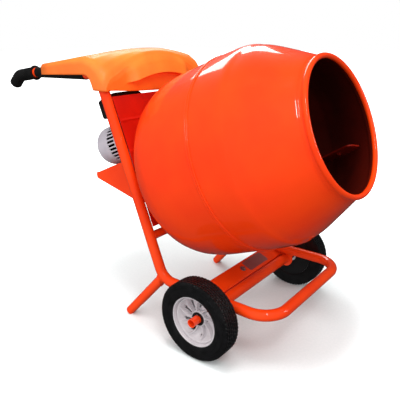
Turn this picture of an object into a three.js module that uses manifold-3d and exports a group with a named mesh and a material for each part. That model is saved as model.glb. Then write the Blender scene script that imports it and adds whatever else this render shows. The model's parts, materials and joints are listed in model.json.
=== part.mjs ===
// A portable electric tip-over concrete mixer.
// Millimetres, +Z up, +X towards the drum's mouth, +Y to the mixer's left side.
// Two bent side tubes are handle, column and base in one. A front hoop joins them. The drum turns on a
// shaft between the leaning columns, and a motor with two gear stages drives it from behind.
import * as THREE from 'three';
import { mergeVertices } from 'three/addons/utils/BufferGeometryUtils.js';
import Module from 'manifold-3d';

const wasm = await Module();
wasm.setup();

// ---------------------------------------------------------------- driving dimensions
const DEG = Math.PI / 180;
const GAP = 0.3; // between fixed pieces that touch
const RUN = 0.6; // around pieces that turn

// frame
const TUBE_R = 17;
const TUBE_BORE_R = 14.5;
const TUBE_SIDES = 12;
const SIDE_Y = 229; // side tubes from the middle plane
const BASE_Z = 162;
const LEAN = 21.4 * DEG; // how far the columns lean back
const BEND_R = 60;
const HEEL_X = -198; // where column and base lines cross
const HANDLE_Z = 805;
const KINK = [-775, 799];
const DROOP = [-892, 783];
const HANDLE_END = [-922, 757];
const HOOP_JOINT_X = 44;
const HOOP_X = 210;
const HOOP_CORNER_R = 78;
const FOOT_R = 16;
const FOOT_TIP = [-338, 254, 6];

// wheels, on an axle at x = 0
const WHEEL_R = 125;
const TYRE_FACE_Y = 328;
const TYRE_WIDTH = 62;
const RIM_R = 80;
const HUB_R = 25;
const AXLE_R = 13;
const AXLE_BORE_R = 9.5;
const AXLE_END_Y = 332;
const RIM_RIBS = 9;

// drum, in the tilted frame: along the shaft from the column plane, and out from the shaft
const SHAFT_Z = 454; // height at which the shaft crosses the column plane
const MOUTH_AT = 630;
const MOUTH_R = 205;
const BEAD_R = 8;
const BELLY_R = 308;
const SEAM_AT = 336;
const FLOOR_AT = 30;
const FLOOR_R = 196;
const SKIN = 2.5;
const DRUM_SEGMENTS = 36;

// drive, in the tilted frame
const PANEL_AT = 17.4;
const CASE_FRONT = 12;
const CASE_BACK = -52;
const CASE_WALL = 4;
const SHAFT_R = 12.5;
const LAY_R = 7.5;
const MOTOR_Y = -105;
const MOTOR_H = 165;
const MOTOR_R = 62;
const COWL_R = 69;
const MOTOR_END = -208;
const COWL_FRONT = -84;
const DRUM_STAGE = { wheelTeeth: 80, pinionTeeth: 10, module: 2.7 };
const MOTOR_STAGE = { wheelTeeth: 70, pinionTeeth: 10, module: 2.1 };

// ---------------------------------------------------------------- materials
function paint(color, roughness, metalness) {
  return new THREE.MeshStandardMaterial({ color, roughness, metalness });
}

const ORANGE_PAINT = paint(0xf4511c, 0.3, 0.1);
const PANEL_PAINT = paint(0xe0321a, 0.4, 0.1);
const HOOD_PLASTIC = paint(0xff7a2a, 0.45, 0);
const BLACK_RUBBER = paint(0x1d1d20, 0.8, 0);
const GREY_PLASTIC = paint(0xc9c8cc, 0.5, 0);
const BLACK_PLASTIC = paint(0x17171a, 0.5, 0);
const BARE_STEEL = paint(0x8f9296, 0.35, 0.9);
const ALUMINIUM = paint(0xb7babd, 0.45, 0.8);
const COPPER_WOUND = paint(0x9a5b34, 0.5, 0.5);
const GREEN_PLASTIC = paint(0x1f8a3c, 0.4, 0);
const RED_PLASTIC = paint(0xc01818, 0.4, 0);
const LABEL_FOIL = paint(0xb9a3a3, 0.5, 0.2);

// ---------------------------------------------------------------- solids
// A closed mesh with shared corners, no flat slivers and its faces pointing out.
function closed(geometry) {
  const bare = geometry.clone();
  bare.deleteAttribute('normal');
  bare.deleteAttribute('uv');
  const merged = mergeVertices(bare, 1e-4);
  const index = merged.index.array;
  const kept = [];
  for (let i = 0; i < index.length; i += 3) {
    const [a, b, c] = [index[i], index[i + 1], index[i + 2]];
    if (a !== b && b !== c && c !== a) kept.push(a, b, c);
  }
  merged.setIndex(volumeOf(merged, kept) < 0 ? kept.reverse() : kept);
  return merged;
}

function volumeOf(geometry, index) {
  const position = geometry.attributes.position;
  const [a, b, c] = [new THREE.Vector3(), new THREE.Vector3(), new THREE.Vector3()];
  let volume = 0;
  for (let i = 0; i < index.length; i += 3) {
    a.fromBufferAttribute(position, index[i]);
    b.fromBufferAttribute(position, index[i + 1]);
    c.fromBufferAttribute(position, index[i + 2]);
    volume += a.dot(b.cross(c)) / 6;
  }
  return volume;
}

function solidOf(geometry) {
  const ready = closed(geometry);
  return new wasm.Manifold(new wasm.Mesh({
    numProp: 3,
    vertProperties: new Float32Array(ready.attributes.position.array),
    triVerts: new Uint32Array(ready.index.array),
  }));
}

function geometryOf(solid) {
  const mesh = solid.getMesh();
  const geometry = new THREE.BufferGeometry();
  geometry.setAttribute('position', new THREE.BufferAttribute(mesh.vertProperties, 3));
  geometry.setIndex(new THREE.BufferAttribute(mesh.triVerts, 1));
  return geometry;
}

function cut(base, ...tools) {
  return geometryOf(tools.reduce((solid, tool) => solid.subtract(solidOf(tool)), solidOf(base)));
}

function join(base, ...others) {
  return geometryOf(others.reduce((solid, other) => solid.add(solidOf(other)), solidOf(base)));
}

// ---------------------------------------------------------------- shapes
function polygon(points) {
  return new THREE.Shape(points.map(([x, y]) => new THREE.Vector2(x, y)));
}

function roundPoints(radius, sides, x = 0, y = 0) {
  return Array.from({ length: sides }, (_, i) => {
    const angle = (2 * Math.PI * (i + 0.5)) / sides;
    return [x + radius * Math.cos(angle), y + radius * Math.sin(angle)];
  });
}

function withHoles(shape, ...holes) {
  holes.forEach((points) => shape.holes.push(new THREE.Path(polygon(points).getPoints())));
  return shape;
}

// Extrusions of a flat outline. alongX reads it as (y, z), alongY as (x, z) and alongZ as (x, y).
function alongZ(shape, from, to) {
  const geometry = new THREE.ExtrudeGeometry(shape, { depth: to - from, bevelEnabled: false });
  return geometry.translate(0, 0, from);
}

function alongX(shape, from, to) {
  const geometry = new THREE.ExtrudeGeometry(shape, { depth: to - from, bevelEnabled: false });
  geometry.applyMatrix4(new THREE.Matrix4().set(0, 0, 1, from, 1, 0, 0, 0, 0, 1, 0, 0, 0, 0, 0, 1));
  return geometry;
}

function alongY(shape, from, to) {
  const geometry = new THREE.ExtrudeGeometry(shape, { depth: to - from, bevelEnabled: false });
  geometry.applyMatrix4(new THREE.Matrix4().set(1, 0, 0, 0, 0, 0, 1, from, 0, 1, 0, 0, 0, 0, 0, 1));
  return closed(geometry);
}

function block(x, y, z) {
  return alongZ(polygon([[x[0], y[0]], [x[1], y[0]], [x[1], y[1]], [x[0], y[1]]]), z[0], z[1]);
}

// Turned pieces. The outline is a list of (place along the axis, radius).
function turnedX(outline, sides) {
  const points = outline.map(([along, radius]) => new THREE.Vector2(radius, along));
  return new THREE.LatheGeometry(points, sides).rotateZ(-Math.PI / 2);
}

function turnedY(outline, sides, start = Math.PI / sides) {
  const points = outline.map(([along, radius]) => new THREE.Vector2(radius, along));
  return new THREE.LatheGeometry(points, sides, start);
}

function ring(from, to, inner, outer) {
  return [[from, inner], [from, outer], [to, outer], [to, inner], [from, inner]];
}

function rod(from, to, radius) {
  return [[from, 0], [from, radius], [to, radius], [to, 0]];
}

// Rolled steel along a line: stations are joined by straight runs, and cut at half the turn.
class Stations extends THREE.Curve {
  constructor(points) {
    super();
    this.points = points;
  }

  getPoint(t, target = new THREE.Vector3()) {
    const place = Math.min(Math.max(t, 0), 1) * (this.points.length - 1);
    const i = Math.min(Math.floor(place), this.points.length - 2);
    return target.lerpVectors(this.points[i], this.points[i + 1], place - i);
  }

  getPointAt(u, target) {
    return this.getPoint(u, target);
  }

  getTangentAt(u, target) {
    return this.getTangent(u, target);
  }
}

// A line through corners, with an arc of the given radius at each inner corner.
function bentLine(corners, radii, stepsPerArc) {
  const points = [corners[0]];
  for (let i = 1; i < corners.length - 1; i += 1) {
    const back = corners[i - 1].clone().sub(corners[i]).normalize();
    const ahead = corners[i + 1].clone().sub(corners[i]).normalize();
    const half = back.angleTo(ahead) / 2;
    const radius = radii[i - 1];
    const inwards = back.clone().add(ahead).normalize();
    const centre = inwards.multiplyScalar(radius / Math.sin(half)).add(corners[i]);
    const start = back.clone().multiplyScalar(radius / Math.tan(half)).add(corners[i]).sub(centre);
    const turn = Math.PI - 2 * half;
    const axis = ahead.clone().cross(back).normalize();
    const steps = stepsPerArc[i - 1];
    for (let k = 0; k <= steps; k += 1) {
      points.push(start.clone().applyAxisAngle(axis, (turn * k) / steps).add(centre));
    }
  }
  points.push(corners[corners.length - 1]);
  return points;
}

function swept(points, shape) {
  return new THREE.ExtrudeGeometry(shape, {
    steps: points.length - 1,
    extrudePath: new Stations(points),
    bevelEnabled: false,
  });
}

function tubeShape(outer, inner, boreSides = TUBE_SIDES) {
  const shape = polygon(roundPoints(outer, TUBE_SIDES));
  return inner ? withHoles(shape, roundPoints(inner, boreSides)) : shape;
}

function frameTube(line) {
  return swept(line, tubeShape(TUBE_R, TUBE_BORE_R, TUBE_SIDES / 2));
}

// A straight solid bar between two points.
function bar(from, to, radius, sides = TUBE_SIDES) {
  const geometry = new THREE.CylinderGeometry(radius, radius, from.distanceTo(to), sides);
  const turn = new THREE.Quaternion().setFromUnitVectors(
    new THREE.Vector3(0, 1, 0),
    to.clone().sub(from).normalize(),
  );
  geometry.applyQuaternion(turn);
  const middle = from.clone().add(to).multiplyScalar(0.5);
  return geometry.translate(middle.x, middle.y, middle.z);
}

// A solid through a row of outlines with equal numbers of points, closed at both ends.
function lofted(sections) {
  const count = sections[0].length;
  const positions = sections.flat().flatMap((point) => [point.x, point.y, point.z]);
  const index = [];
  for (let s = 0; s < sections.length - 1; s += 1) {
    for (let i = 0; i < count; i += 1) {
      const [a, b] = [s * count + i, s * count + ((i + 1) % count)];
      index.push(a, b, b + count, a, b + count, a + count);
    }
  }
  const last = (sections.length - 1) * count;
  const flat = sections[0].map((point) => new THREE.Vector2(point.y, point.z));
  THREE.ShapeUtils.triangulateShape(flat, []).forEach(([a, b, c]) => {
    index.push(c, b, a, last + a, last + b, last + c);
  });
  const geometry = new THREE.BufferGeometry();
  geometry.setAttribute('position', new THREE.Float32BufferAttribute(positions, 3));
  geometry.setIndex(index);
  return geometry;
}

// ---------------------------------------------------------------- the assembly
const model = new THREE.Group();
const tilted = new THREE.Group(); // +X runs along the drum's shaft, and the origin is in the column plane
const columnX = (z) => HEEL_X - (z - BASE_Z) * Math.tan(LEAN);
tilted.position.set(columnX(SHAFT_Z), 0, SHAFT_Z);
tilted.rotation.y = -LEAN;
model.add(tilted);

function place(parent, name, geometry, material) {
  const mesh = new THREE.Mesh(closed(geometry), material);
  mesh.name = name;
  parent.add(mesh);
}

const SIDES = [['left', 1], ['right', -1]];

// ---------------------------------------------------------------- frame tubes
function sideLine(y) {
  const corners = [
    HANDLE_END, DROOP, KINK, [columnX(HANDLE_Z), HANDLE_Z], [HEEL_X, BASE_Z], [HOOP_JOINT_X, BASE_Z],
  ];
  const points = corners.map(([x, z]) => new THREE.Vector3(x, y, z));
  return bentLine(points, [40, 300, BEND_R, BEND_R], [2, 1, 4, 4]);
}

function hoopLine() {
  const start = HOOP_JOINT_X + GAP;
  const corners = [[start, -SIDE_Y], [HOOP_X, -SIDE_Y], [HOOP_X, SIDE_Y], [start, SIDE_Y]];
  const points = corners.map(([x, y]) => new THREE.Vector3(x, y, BASE_Z));
  return bentLine(points, [HOOP_CORNER_R, HOOP_CORNER_R], [5, 5]);
}

// A fat copy of the side tube, used to cut the pieces that are welded to it.
function sideClearance(y) {
  return swept(sideLine(y), tubeShape(TUBE_R + GAP));
}

function foot(side) {
  const heel = new THREE.Vector3(columnX(BASE_Z + 8), side * SIDE_Y, BASE_Z + 8);
  const tip = new THREE.Vector3(FOOT_TIP[0], side * FOOT_TIP[1], FOOT_TIP[2]);
  const solidTip = 30;
  const boreEnd = tip.clone().lerp(heel, solidTip / tip.distanceTo(heel));
  const beyondHeel = heel.clone().add(heel.clone().sub(tip).multiplyScalar(0.1));
  return cut(
    bar(tip, heel, FOOT_R),
    sideClearance(side * SIDE_Y),
    bar(boreEnd, beyondHeel, FOOT_R - 2.5, 8),
    block([-420, -200], [side * SIDE_Y - 60, side * SIDE_Y + 60], [-60, 0]),
  );
}

function crossTube(z, radius) {
  const outside = polygon(roundPoints(radius, 12, columnX(z), z));
  const outline = withHoles(outside, roundPoints(radius - 2.5, 8, columnX(z), z));
  return cut(alongY(outline, -SIDE_Y + 2, SIDE_Y - 2), sideClearance(-SIDE_Y), sideClearance(SIDE_Y));
}

function buildFrameTubes() {
  SIDES.forEach(([name, side]) => {
    const line = sideLine(side * SIDE_Y);
    place(model, `${name}_side_tube`, frameTube(line), ORANGE_PAINT);
    place(model, `${name}_foot`, foot(side), ORANGE_PAINT);
  });
  place(model, 'front_hoop', frameTube(hoopLine()), ORANGE_PAINT);
  place(model, 'upper_cross_tube', crossTube(720, 12), ORANGE_PAINT);
  place(model, 'lower_cross_tube', crossTube(300, 14), ORANGE_PAINT);
}

// ---------------------------------------------------------------- axle and cross plate
const SLEEVE_R = 18;
const BRACKET_Y = [226.5, 231.5];

function bracket(side) {
  const rim = roundPoints(30, 24, 0, WHEEL_R).filter(([, z]) => z < WHEEL_R);
  const outline = polygon([[-38, BASE_Z - 6], ...rim, [38, BASE_Z - 6]]);
  withHoles(outline, roundPoints(AXLE_R + GAP, 16, 0, WHEEL_R));
  const [inner, outer] = side > 0 ? BRACKET_Y : [-BRACKET_Y[1], -BRACKET_Y[0]];
  return cut(alongY(outline, inner, outer), sideClearance(side * SIDE_Y));
}

// Folded from one sheet: a web that rises to the rear, with a lip turned down at each edge.
const PLATE_SHEET = 3;
const PLATE_REAR = [-72, 165];
const PLATE_FRONT = [-15, 143];
const PLATE_SLOPE = Math.atan2(PLATE_REAR[1] - PLATE_FRONT[1], PLATE_FRONT[0] - PLATE_REAR[0]);

function crossPlate() {
  const [rearX, rearZ] = PLATE_REAR;
  const [frontX, frontZ] = PLATE_FRONT;
  const outline = polygon([
    [rearX, rearZ], [rearX - 6, rearZ - 26], [rearX - 6 + PLATE_SHEET, rearZ - 26],
    [rearX + 3.4, rearZ - 4.2], [frontX - 5, frontZ - PLATE_SHEET + 1.2], [frontX - 9, frontZ - 15],
    [frontX - 9 + PLATE_SHEET, frontZ - 15], [frontX, frontZ],
  ]);
  const reach = BRACKET_Y[0] - GAP;
  const sheet = alongY(outline, -reach, reach);
  const boltHole = plateTurned(alongZ(polygon(roundPoints(BOLT_R + GAP, 12)), -20, 20));
  return cut(sheet, sideClearance(-SIDE_Y), sideClearance(SIDE_Y), boltHole);
}

const BOLT_Y = -22;
const BOLT_R = 4;

function plateTurned(geometry, y = BOLT_Y) {
  const middle = [(PLATE_REAR[0] + PLATE_FRONT[0]) / 2, (PLATE_REAR[1] + PLATE_FRONT[1]) / 2];
  geometry.rotateY(PLATE_SLOPE);
  return geometry.translate(middle[0], y, middle[1]);
}

function plateBolt() {
  const head = alongZ(polygon(roundPoints(7.5, 6)), GAP, 6);
  return plateTurned(join(head, alongZ(polygon(roundPoints(BOLT_R, 12)), -12, 3)));
}

function dataPlate() {
  const outline = polygon([[-17, -32], [17, -32], [17, 32], [-17, 32]]);
  return plateTurned(alongZ(outline, GAP, 1.3), 62);
}

function buildAxle() {
  place(model, 'cross_plate', crossPlate(), ORANGE_PAINT);
  place(model, 'plate_bolt', plateBolt(), BARE_STEEL);
  place(model, 'data_plate', dataPlate(), LABEL_FOIL);
  const sleeve = turnedY(ring(-BRACKET_Y[0] + GAP, BRACKET_Y[0] - GAP, AXLE_R + 1, SLEEVE_R), 16);
  place(model, 'axle_sleeve', sleeve.translate(0, 0, WHEEL_R), ORANGE_PAINT);
  SIDES.forEach(([name, side]) => place(model, `${name}_wheel_bracket`, bracket(side), ORANGE_PAINT));
  place(model, 'axle', axle(), ORANGE_PAINT);
}

const PIN_Y = 303.4;
const END_HOLE_Y = 324.5;
const PIN_R = 2;

function axle() {
  const outline = ring(-AXLE_END_Y, AXLE_END_Y, AXLE_BORE_R, AXLE_R);
  const tube = turnedY(outline, 16).translate(0, 0, WHEEL_R);
  const holes = [-END_HOLE_Y, -PIN_Y, PIN_Y, END_HOLE_Y].map((y) => (
    alongZ(polygon(roundPoints(PIN_R + GAP, 8, 0, y)), 100, 150)
  ));
  return cut(tube, ...holes);
}

// ---------------------------------------------------------------- wheels
// Built for the left side, with the outer face at +Y, and turned round for the right side.
const RIM_FACE_Y = 322;
const WEB_Y = [282, 288];
const HUB_Y = [268, 297];
const VANE_TOP_Y = 304;
const BUSH_R = 17;

function tyre() {
  const [inner, outer] = [TYRE_FACE_Y - TYRE_WIDTH, TYRE_FACE_Y];
  const outline = [
    [inner + 3, RIM_R], [inner, RIM_R + 8], [inner + 1, WHEEL_R - 9], [inner + 7, WHEEL_R],
    [outer - 7, WHEEL_R], [outer - 1, WHEEL_R - 9], [outer, RIM_R + 8], [outer - 3, RIM_R],
    [inner + 3, RIM_R],
  ];
  return turnedY(outline, 36, 0);
}

function rib(turn) {
  const sweep = 24 * DEG;
  const half = 2;
  const reach = (t) => HUB_R - 2 + t * (RIM_R - HUB_R - 8);
  const along = [0, 0.33, 0.66, 1];
  const edge = (offset) => along.map((t) => {
    const angle = turn + sweep * t * t;
    const radius = reach(t);
    const across = offset * half;
    return [
      radius * Math.cos(angle) - across * Math.sin(angle),
      radius * Math.sin(angle) + across * Math.cos(angle),
    ];
  });
  return alongY(polygon([...edge(-1), ...edge(1).reverse()]), WEB_Y[1] - 2, VANE_TOP_Y);
}

function rim() {
  const outer = RIM_R - GAP;
  const barrel = RIM_R - 10;
  const outline = [
    [HUB_Y[0], BUSH_R + GAP], [HUB_Y[0], HUB_R], [WEB_Y[0], HUB_R], [WEB_Y[0], barrel],
    [RIM_FACE_Y - 50, outer - 4], [RIM_FACE_Y - 50, outer], [RIM_FACE_Y, outer], [RIM_FACE_Y, outer - 5],
    [WEB_Y[1], barrel - 5], [WEB_Y[1], HUB_R], [HUB_Y[1], HUB_R], [HUB_Y[1], BUSH_R + GAP],
    [HUB_Y[0], BUSH_R + GAP],
  ];
  const ribs = Array.from({ length: RIM_RIBS }, (_, i) => rib((2 * Math.PI * i) / RIM_RIBS));
  return join(turnedY(outline, 24), ...ribs);
}

function buildWheels() {
  SIDES.forEach(([name, side]) => {
    const wheel = new THREE.Group();
    wheel.position.z = WHEEL_R;
    wheel.rotation.z = side > 0 ? 0 : Math.PI;
    model.add(wheel);
    place(wheel, `${name}_tyre`, tyre(), BLACK_RUBBER);
    place(wheel, `${name}_rim`, rim(), GREY_PLASTIC);
    const bush = turnedY(ring(HUB_Y[0], HUB_Y[1], AXLE_R + RUN, BUSH_R), 16);
    place(wheel, `${name}_wheel_bush`, bush, BLACK_PLASTIC);
    const washer = turnedY(ring(HUB_Y[1] + RUN, HUB_Y[1] + 3.6, AXLE_R + GAP, 21), 16);
    place(wheel, `${name}_axle_washer`, washer, BARE_STEEL);
    const pin = alongZ(polygon(roundPoints(PIN_R, 8, 0, PIN_Y)), -17, 17);
    place(wheel, `${name}_axle_pin`, pin, BARE_STEEL);
  });
}

// ---------------------------------------------------------------- grips
const GRIP_R = 22;
const GRIP_FRONT_X = -787;

function grip(side) {
  const at = ([x, z]) => new THREE.Vector3(x, side * SIDE_Y, z);
  const [end, droop, kink] = [HANDLE_END, DROOP, KINK].map(at);
  const front = droop.clone().lerp(kink, (GRIP_FRONT_X - DROOP[0]) / (KINK[0] - DROOP[0]));
  const outwards = end.clone().sub(droop).normalize();
  const capStart = end.clone().addScaledVector(outwards, GAP);
  const sleeve = swept(bentLine([capStart, droop, front], [40], [2]), tubeShape(GRIP_R, TUBE_R + GAP));
  const cap = bar(capStart, end.clone().addScaledVector(outwards, 9), GRIP_R);
  const collarBack = front.clone().lerp(droop, 0.06);
  const collar = cut(bar(front, collarBack, GRIP_R + 4), bar(front, droop, TUBE_R + 2));
  return join(sleeve, cap, collar);
}

function buildGrips() {
  SIDES.forEach(([name, side]) => place(model, `${name}_grip`, grip(side), BLACK_RUBBER));
}

// ---------------------------------------------------------------- drum
// Radius of the drum's outer skin along the shaft, from floor to mouth.
const BOWL_OUTER = [
  [FLOOR_AT, FLOOR_R], [FLOOR_AT + 6, 222], [54, 256], [84, 284], [122, 300], [190, BELLY_R],
  [SEAM_AT - 2, BELLY_R],
];
const CONE_OUTER = [
  [SEAM_AT - 12, BELLY_R + SKIN + 1.2], [SEAM_AT, BELLY_R + SKIN + 1.2], [SEAM_AT + 3, BELLY_R + 0.6],
  [390, 307], [434, 304], [475, 288], [565, 233], [603, 209], [613, 200.5], [620, 197.8],
];

function skinUnder(outline, thickness) {
  return outline.map(([along, radius]) => [along, radius - thickness]);
}

function drumBowl() {
  const inside = [[FLOOR_AT + SKIN, FLOOR_R - 2], ...skinUnder(BOWL_OUTER.slice(1), SKIN)];
  inside[1][0] += 2;
  inside[2][0] += 1.5;
  const hub = SHAFT_R + 8;
  const outline = [[FLOOR_AT, hub], ...BOWL_OUTER, ...inside.reverse(), [FLOOR_AT + SKIN, hub]];
  return turnedX([...outline, outline[0]], DRUM_SEGMENTS);
}

function drumCone() {
  const lap = BELLY_R + 0.5;
  const inside = [[SEAM_AT - 12, lap], [SEAM_AT - 1, lap], [SEAM_AT + 2, BELLY_R - SKIN + 0.4]];
  const rest = skinUnder(CONE_OUTER.slice(3), SKIN);
  const outline = [...CONE_OUTER, ...[...inside, ...rest].reverse()];
  return turnedX([...outline, outline[0]], DRUM_SEGMENTS);
}

function mouthBead() {
  const outline = roundPoints(BEAD_R, 8, MOUTH_AT - 1.3, MOUTH_R - BEAD_R);
  return turnedX([...outline, outline[0]], DRUM_SEGMENTS);
}

// A flat blade that stands on the drum's wall from bowl to cone, with a foot bolted to the bowl.
const BLADE = [
  [150, 296], [330, 301], [434, 297], [475, 281], [562, 229], [572, 222],
  [562, 192], [550, 181], [400, 203], [220, 214], [160, 250],
];
const PADDLE_TURN = -21 * DEG;

function paddle(turn) {
  const blade = alongZ(polygon(BLADE), -2.5, 2.5);
  const footPlate = block([190, 300], [290, 295], [-2, 28]);
  const hexHead = () => new THREE.CylinderGeometry(7, 7, 10, 6);
  const footBolts = [210, 280].map((x) => hexHead().translate(x, 286, 16));
  const bladeBolt = hexHead().rotateX(Math.PI / 2).scale(1, 1, 1.7).translate(495, 232, 0);
  return join(blade, footPlate, ...footBolts, bladeBolt).rotateX(turn);
}

function drumShaft() {
  const flange = FLOOR_AT - 5.5;
  const outline = [
    [-47, 0], [-47, SHAFT_R], [flange, SHAFT_R], [flange, 62], [FLOOR_AT - GAP, 62],
    [FLOOR_AT - GAP, 18], [FLOOR_AT + 14, 18], [FLOOR_AT + 14, 0],
  ];
  return turnedX(outline, 24);
}

// The plate inside the drum that clamps its floor to the shaft's flange, with its bolt heads.
function hubPlate() {
  const near = FLOOR_AT + SKIN + GAP;
  const plate = turnedX(ring(near, near + 5, 18 + GAP, 62), 24);
  const heads = Array.from({ length: 6 }, (_, i) => {
    const angle = (i * Math.PI) / 3;
    const [y, z] = [44 * Math.cos(angle), 44 * Math.sin(angle)];
    return alongX(polygon(roundPoints(8, 6, y, z)), near + 3, near + 12);
  });
  return join(plate, ...heads);
}

function buildDrum() {
  place(tilted, 'drum_bowl', drumBowl(), ORANGE_PAINT);
  place(tilted, 'drum_cone', drumCone(), ORANGE_PAINT);
  place(tilted, 'mouth_bead', mouthBead(), ORANGE_PAINT);
  place(tilted, 'paddle_a', paddle(PADDLE_TURN), PANEL_PAINT);
  place(tilted, 'paddle_b', paddle(PADDLE_TURN + Math.PI), PANEL_PAINT);
  place(tilted, 'drum_shaft', drumShaft(), BARE_STEEL);
  place(tilted, 'hub_plate', hubPlate(), BARE_STEEL);
}

// ---------------------------------------------------------------- gears
const stageDistance = (stage) => (stage.module * (stage.wheelTeeth + stage.pinionTeeth)) / 2;

// The layshaft sits where both stages reach their centre distances.
function layshaftPlace() {
  const span = Math.hypot(MOTOR_Y, MOTOR_H);
  const first = stageDistance(DRUM_STAGE);
  const second = stageDistance(MOTOR_STAGE);
  const along = (first ** 2 + span ** 2 - second ** 2) / (2 * span);
  const across = Math.sqrt(first ** 2 - along ** 2);
  const [uy, uz] = [MOTOR_Y / span, MOTOR_H / span];
  return [along * uy - across * uz, along * uz + across * uy];
}

const [LAY_Y, LAY_H] = layshaftPlace();

// A gear outline in (y, z). One tooth, or one gap, points along the given direction.
function gearOutline(teeth, module, direction, toothAtDirection) {
  const pitch = (2 * Math.PI) / teeth;
  const [root, tip] = [module * (teeth / 2 - 1.3), module * (teeth / 2 + 0.85)];
  const start = direction + (toothAtDirection ? 0 : pitch / 2);
  const corners = [[root, -0.29], [tip, -0.12], [tip, 0.12], [root, 0.29]];
  const points = [];
  for (let i = 0; i < teeth; i += 1) {
    corners.forEach(([radius, share]) => {
      const angle = start + pitch * (i + share);
      points.push([radius * Math.cos(angle), radius * Math.sin(angle)]);
    });
  }
  return points;
}

function gear(teeth, module, direction, toothAtDirection, bore, from, to) {
  const outline = polygon(gearOutline(teeth, module, direction, toothAtDirection));
  return alongX(bore ? withHoles(outline, roundPoints(bore, 16)) : outline, from, to);
}

const DRUM_STAGE_AT = [-20, -6];
const MOTOR_STAGE_AT = [-38, -27];
const TOWARDS_LAY = Math.atan2(LAY_H, LAY_Y);
const LAY_TO_MOTOR = Math.atan2(MOTOR_H - LAY_H, MOTOR_Y - LAY_Y);

function layshaft() {
  const { pinionTeeth, module } = DRUM_STAGE;
  const shaft = turnedX(rod(-47, CASE_FRONT, LAY_R), 16);
  const pinion = gear(pinionTeeth, module, TOWARDS_LAY + Math.PI, false, 0, ...DRUM_STAGE_AT);
  return join(shaft, pinion).translate(0, LAY_Y, LAY_H);
}

function motorShaft() {
  const { pinionTeeth, module } = MOTOR_STAGE;
  const shaft = turnedX(rod(MOTOR_END + 18, MOTOR_STAGE_AT[1], 7), 16);
  const pinion = gear(pinionTeeth, module, LAY_TO_MOTOR + Math.PI, false, 0, ...MOTOR_STAGE_AT);
  return join(shaft, pinion).translate(0, MOTOR_Y, MOTOR_H);
}

function buildGears() {
  const { wheelTeeth: drumTeeth, module: drumModule } = DRUM_STAGE;
  const drumGear = gear(drumTeeth, drumModule, TOWARDS_LAY, true, SHAFT_R + GAP, ...DRUM_STAGE_AT);
  place(tilted, 'drum_gear', drumGear, BARE_STEEL);
  const { wheelTeeth: layTeeth, module: layModule } = MOTOR_STAGE;
  const layGear = gear(layTeeth, layModule, LAY_TO_MOTOR, true, LAY_R + GAP, ...MOTOR_STAGE_AT);
  place(tilted, 'layshaft_gear', layGear.translate(0, LAY_Y, LAY_H), BARE_STEEL);
  place(tilted, 'layshaft', layshaft(), BARE_STEEL);
}

// ---------------------------------------------------------------- gearcase
// Outline of a band stretched round circles, in (y, z).
function stretchedRound(circles, sides = 20) {
  const points = circles.flatMap(([y, z, radius]) => roundPoints(radius, sides, y, z));
  points.sort((a, b) => a[0] - b[0] || a[1] - b[1]);
  const turn = (o, a, b) => (a[0] - o[0]) * (b[1] - o[1]) - (a[1] - o[1]) * (b[0] - o[0]);
  const half = (list) => {
    const hull = [];
    list.forEach((point) => {
      while (hull.length > 1 && turn(hull[hull.length - 2], hull[hull.length - 1], point) <= 0) hull.pop();
      hull.push(point);
    });
    return hull.slice(0, -1);
  };
  return [...half(points), ...half([...points].reverse())];
}

const CASE_CLEARANCE = 5;

function caseCircles(extra) {
  const drumTip = DRUM_STAGE.module * (DRUM_STAGE.wheelTeeth / 2 + 1);
  const layTip = MOTOR_STAGE.module * (MOTOR_STAGE.wheelTeeth / 2 + 1);
  return [
    [0, 0, drumTip + CASE_CLEARANCE + extra],
    [LAY_Y, LAY_H, layTip + CASE_CLEARANCE + extra],
    [MOTOR_Y, MOTOR_H, 22 + extra],
  ];
}

function gearcase() {
  const shell = alongX(polygon(stretchedRound(caseCircles(CASE_WALL))), CASE_BACK, CASE_FRONT);
  const room = alongX(polygon(stretchedRound(caseCircles(0))), CASE_BACK + CASE_WALL, CASE_FRONT + 1);
  const hole = turnedX(rod(CASE_BACK - 1, CASE_BACK + CASE_WALL + 1, 16), 20);
  const motorHole = hole.translate(0, MOTOR_Y, MOTOR_H);
  const drumBoss = turnedX(ring(CASE_BACK + 2, -39, 22.3, 27), 20);
  const layBoss = turnedX(ring(CASE_BACK + 2, -41, 16.3, 21), 20).translate(0, LAY_Y, LAY_H);
  return join(cut(shell, room, motorHole), drumBoss, layBoss);
}

function gearcaseLid() {
  const [from, to] = [CASE_FRONT + GAP, CASE_FRONT + 4.5];
  const plate = alongX(polygon(stretchedRound(caseCircles(CASE_WALL))), from, to);
  const drumBoss = turnedX(ring(0, from + 1, 22.3, 27), 20);
  const layBoss = turnedX(ring(1, from + 1, 16.3, 21), 20).translate(0, LAY_Y, LAY_H);
  const shaftHole = turnedX(rod(from - 2, to + 1, SHAFT_R + 2), 20);
  return join(cut(plate, shaftHole), drumBoss, layBoss);
}

function bearing(from, to, inner, outer) {
  return turnedX(ring(from, to, inner, outer), 16);
}

function buildGearcase() {
  place(tilted, 'gearcase', gearcase(), ALUMINIUM);
  place(tilted, 'gearcase_lid', gearcaseLid(), ALUMINIUM);
  place(tilted, 'drum_bearing_rear', bearing(-47.5, -40, SHAFT_R + RUN, 22), BARE_STEEL);
  place(tilted, 'drum_bearing_front', bearing(1, 11.5, SHAFT_R + RUN, 22), BARE_STEEL);
  const layRear = bearing(-47.5, -41, LAY_R + RUN, 16).translate(0, LAY_Y, LAY_H);
  const layFront = bearing(2, 11.5, LAY_R + RUN, 16).translate(0, LAY_Y, LAY_H);
  place(tilted, 'layshaft_bearing_rear', layRear, BARE_STEEL);
  place(tilted, 'layshaft_bearing_front', layFront, BARE_STEEL);
}

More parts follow.
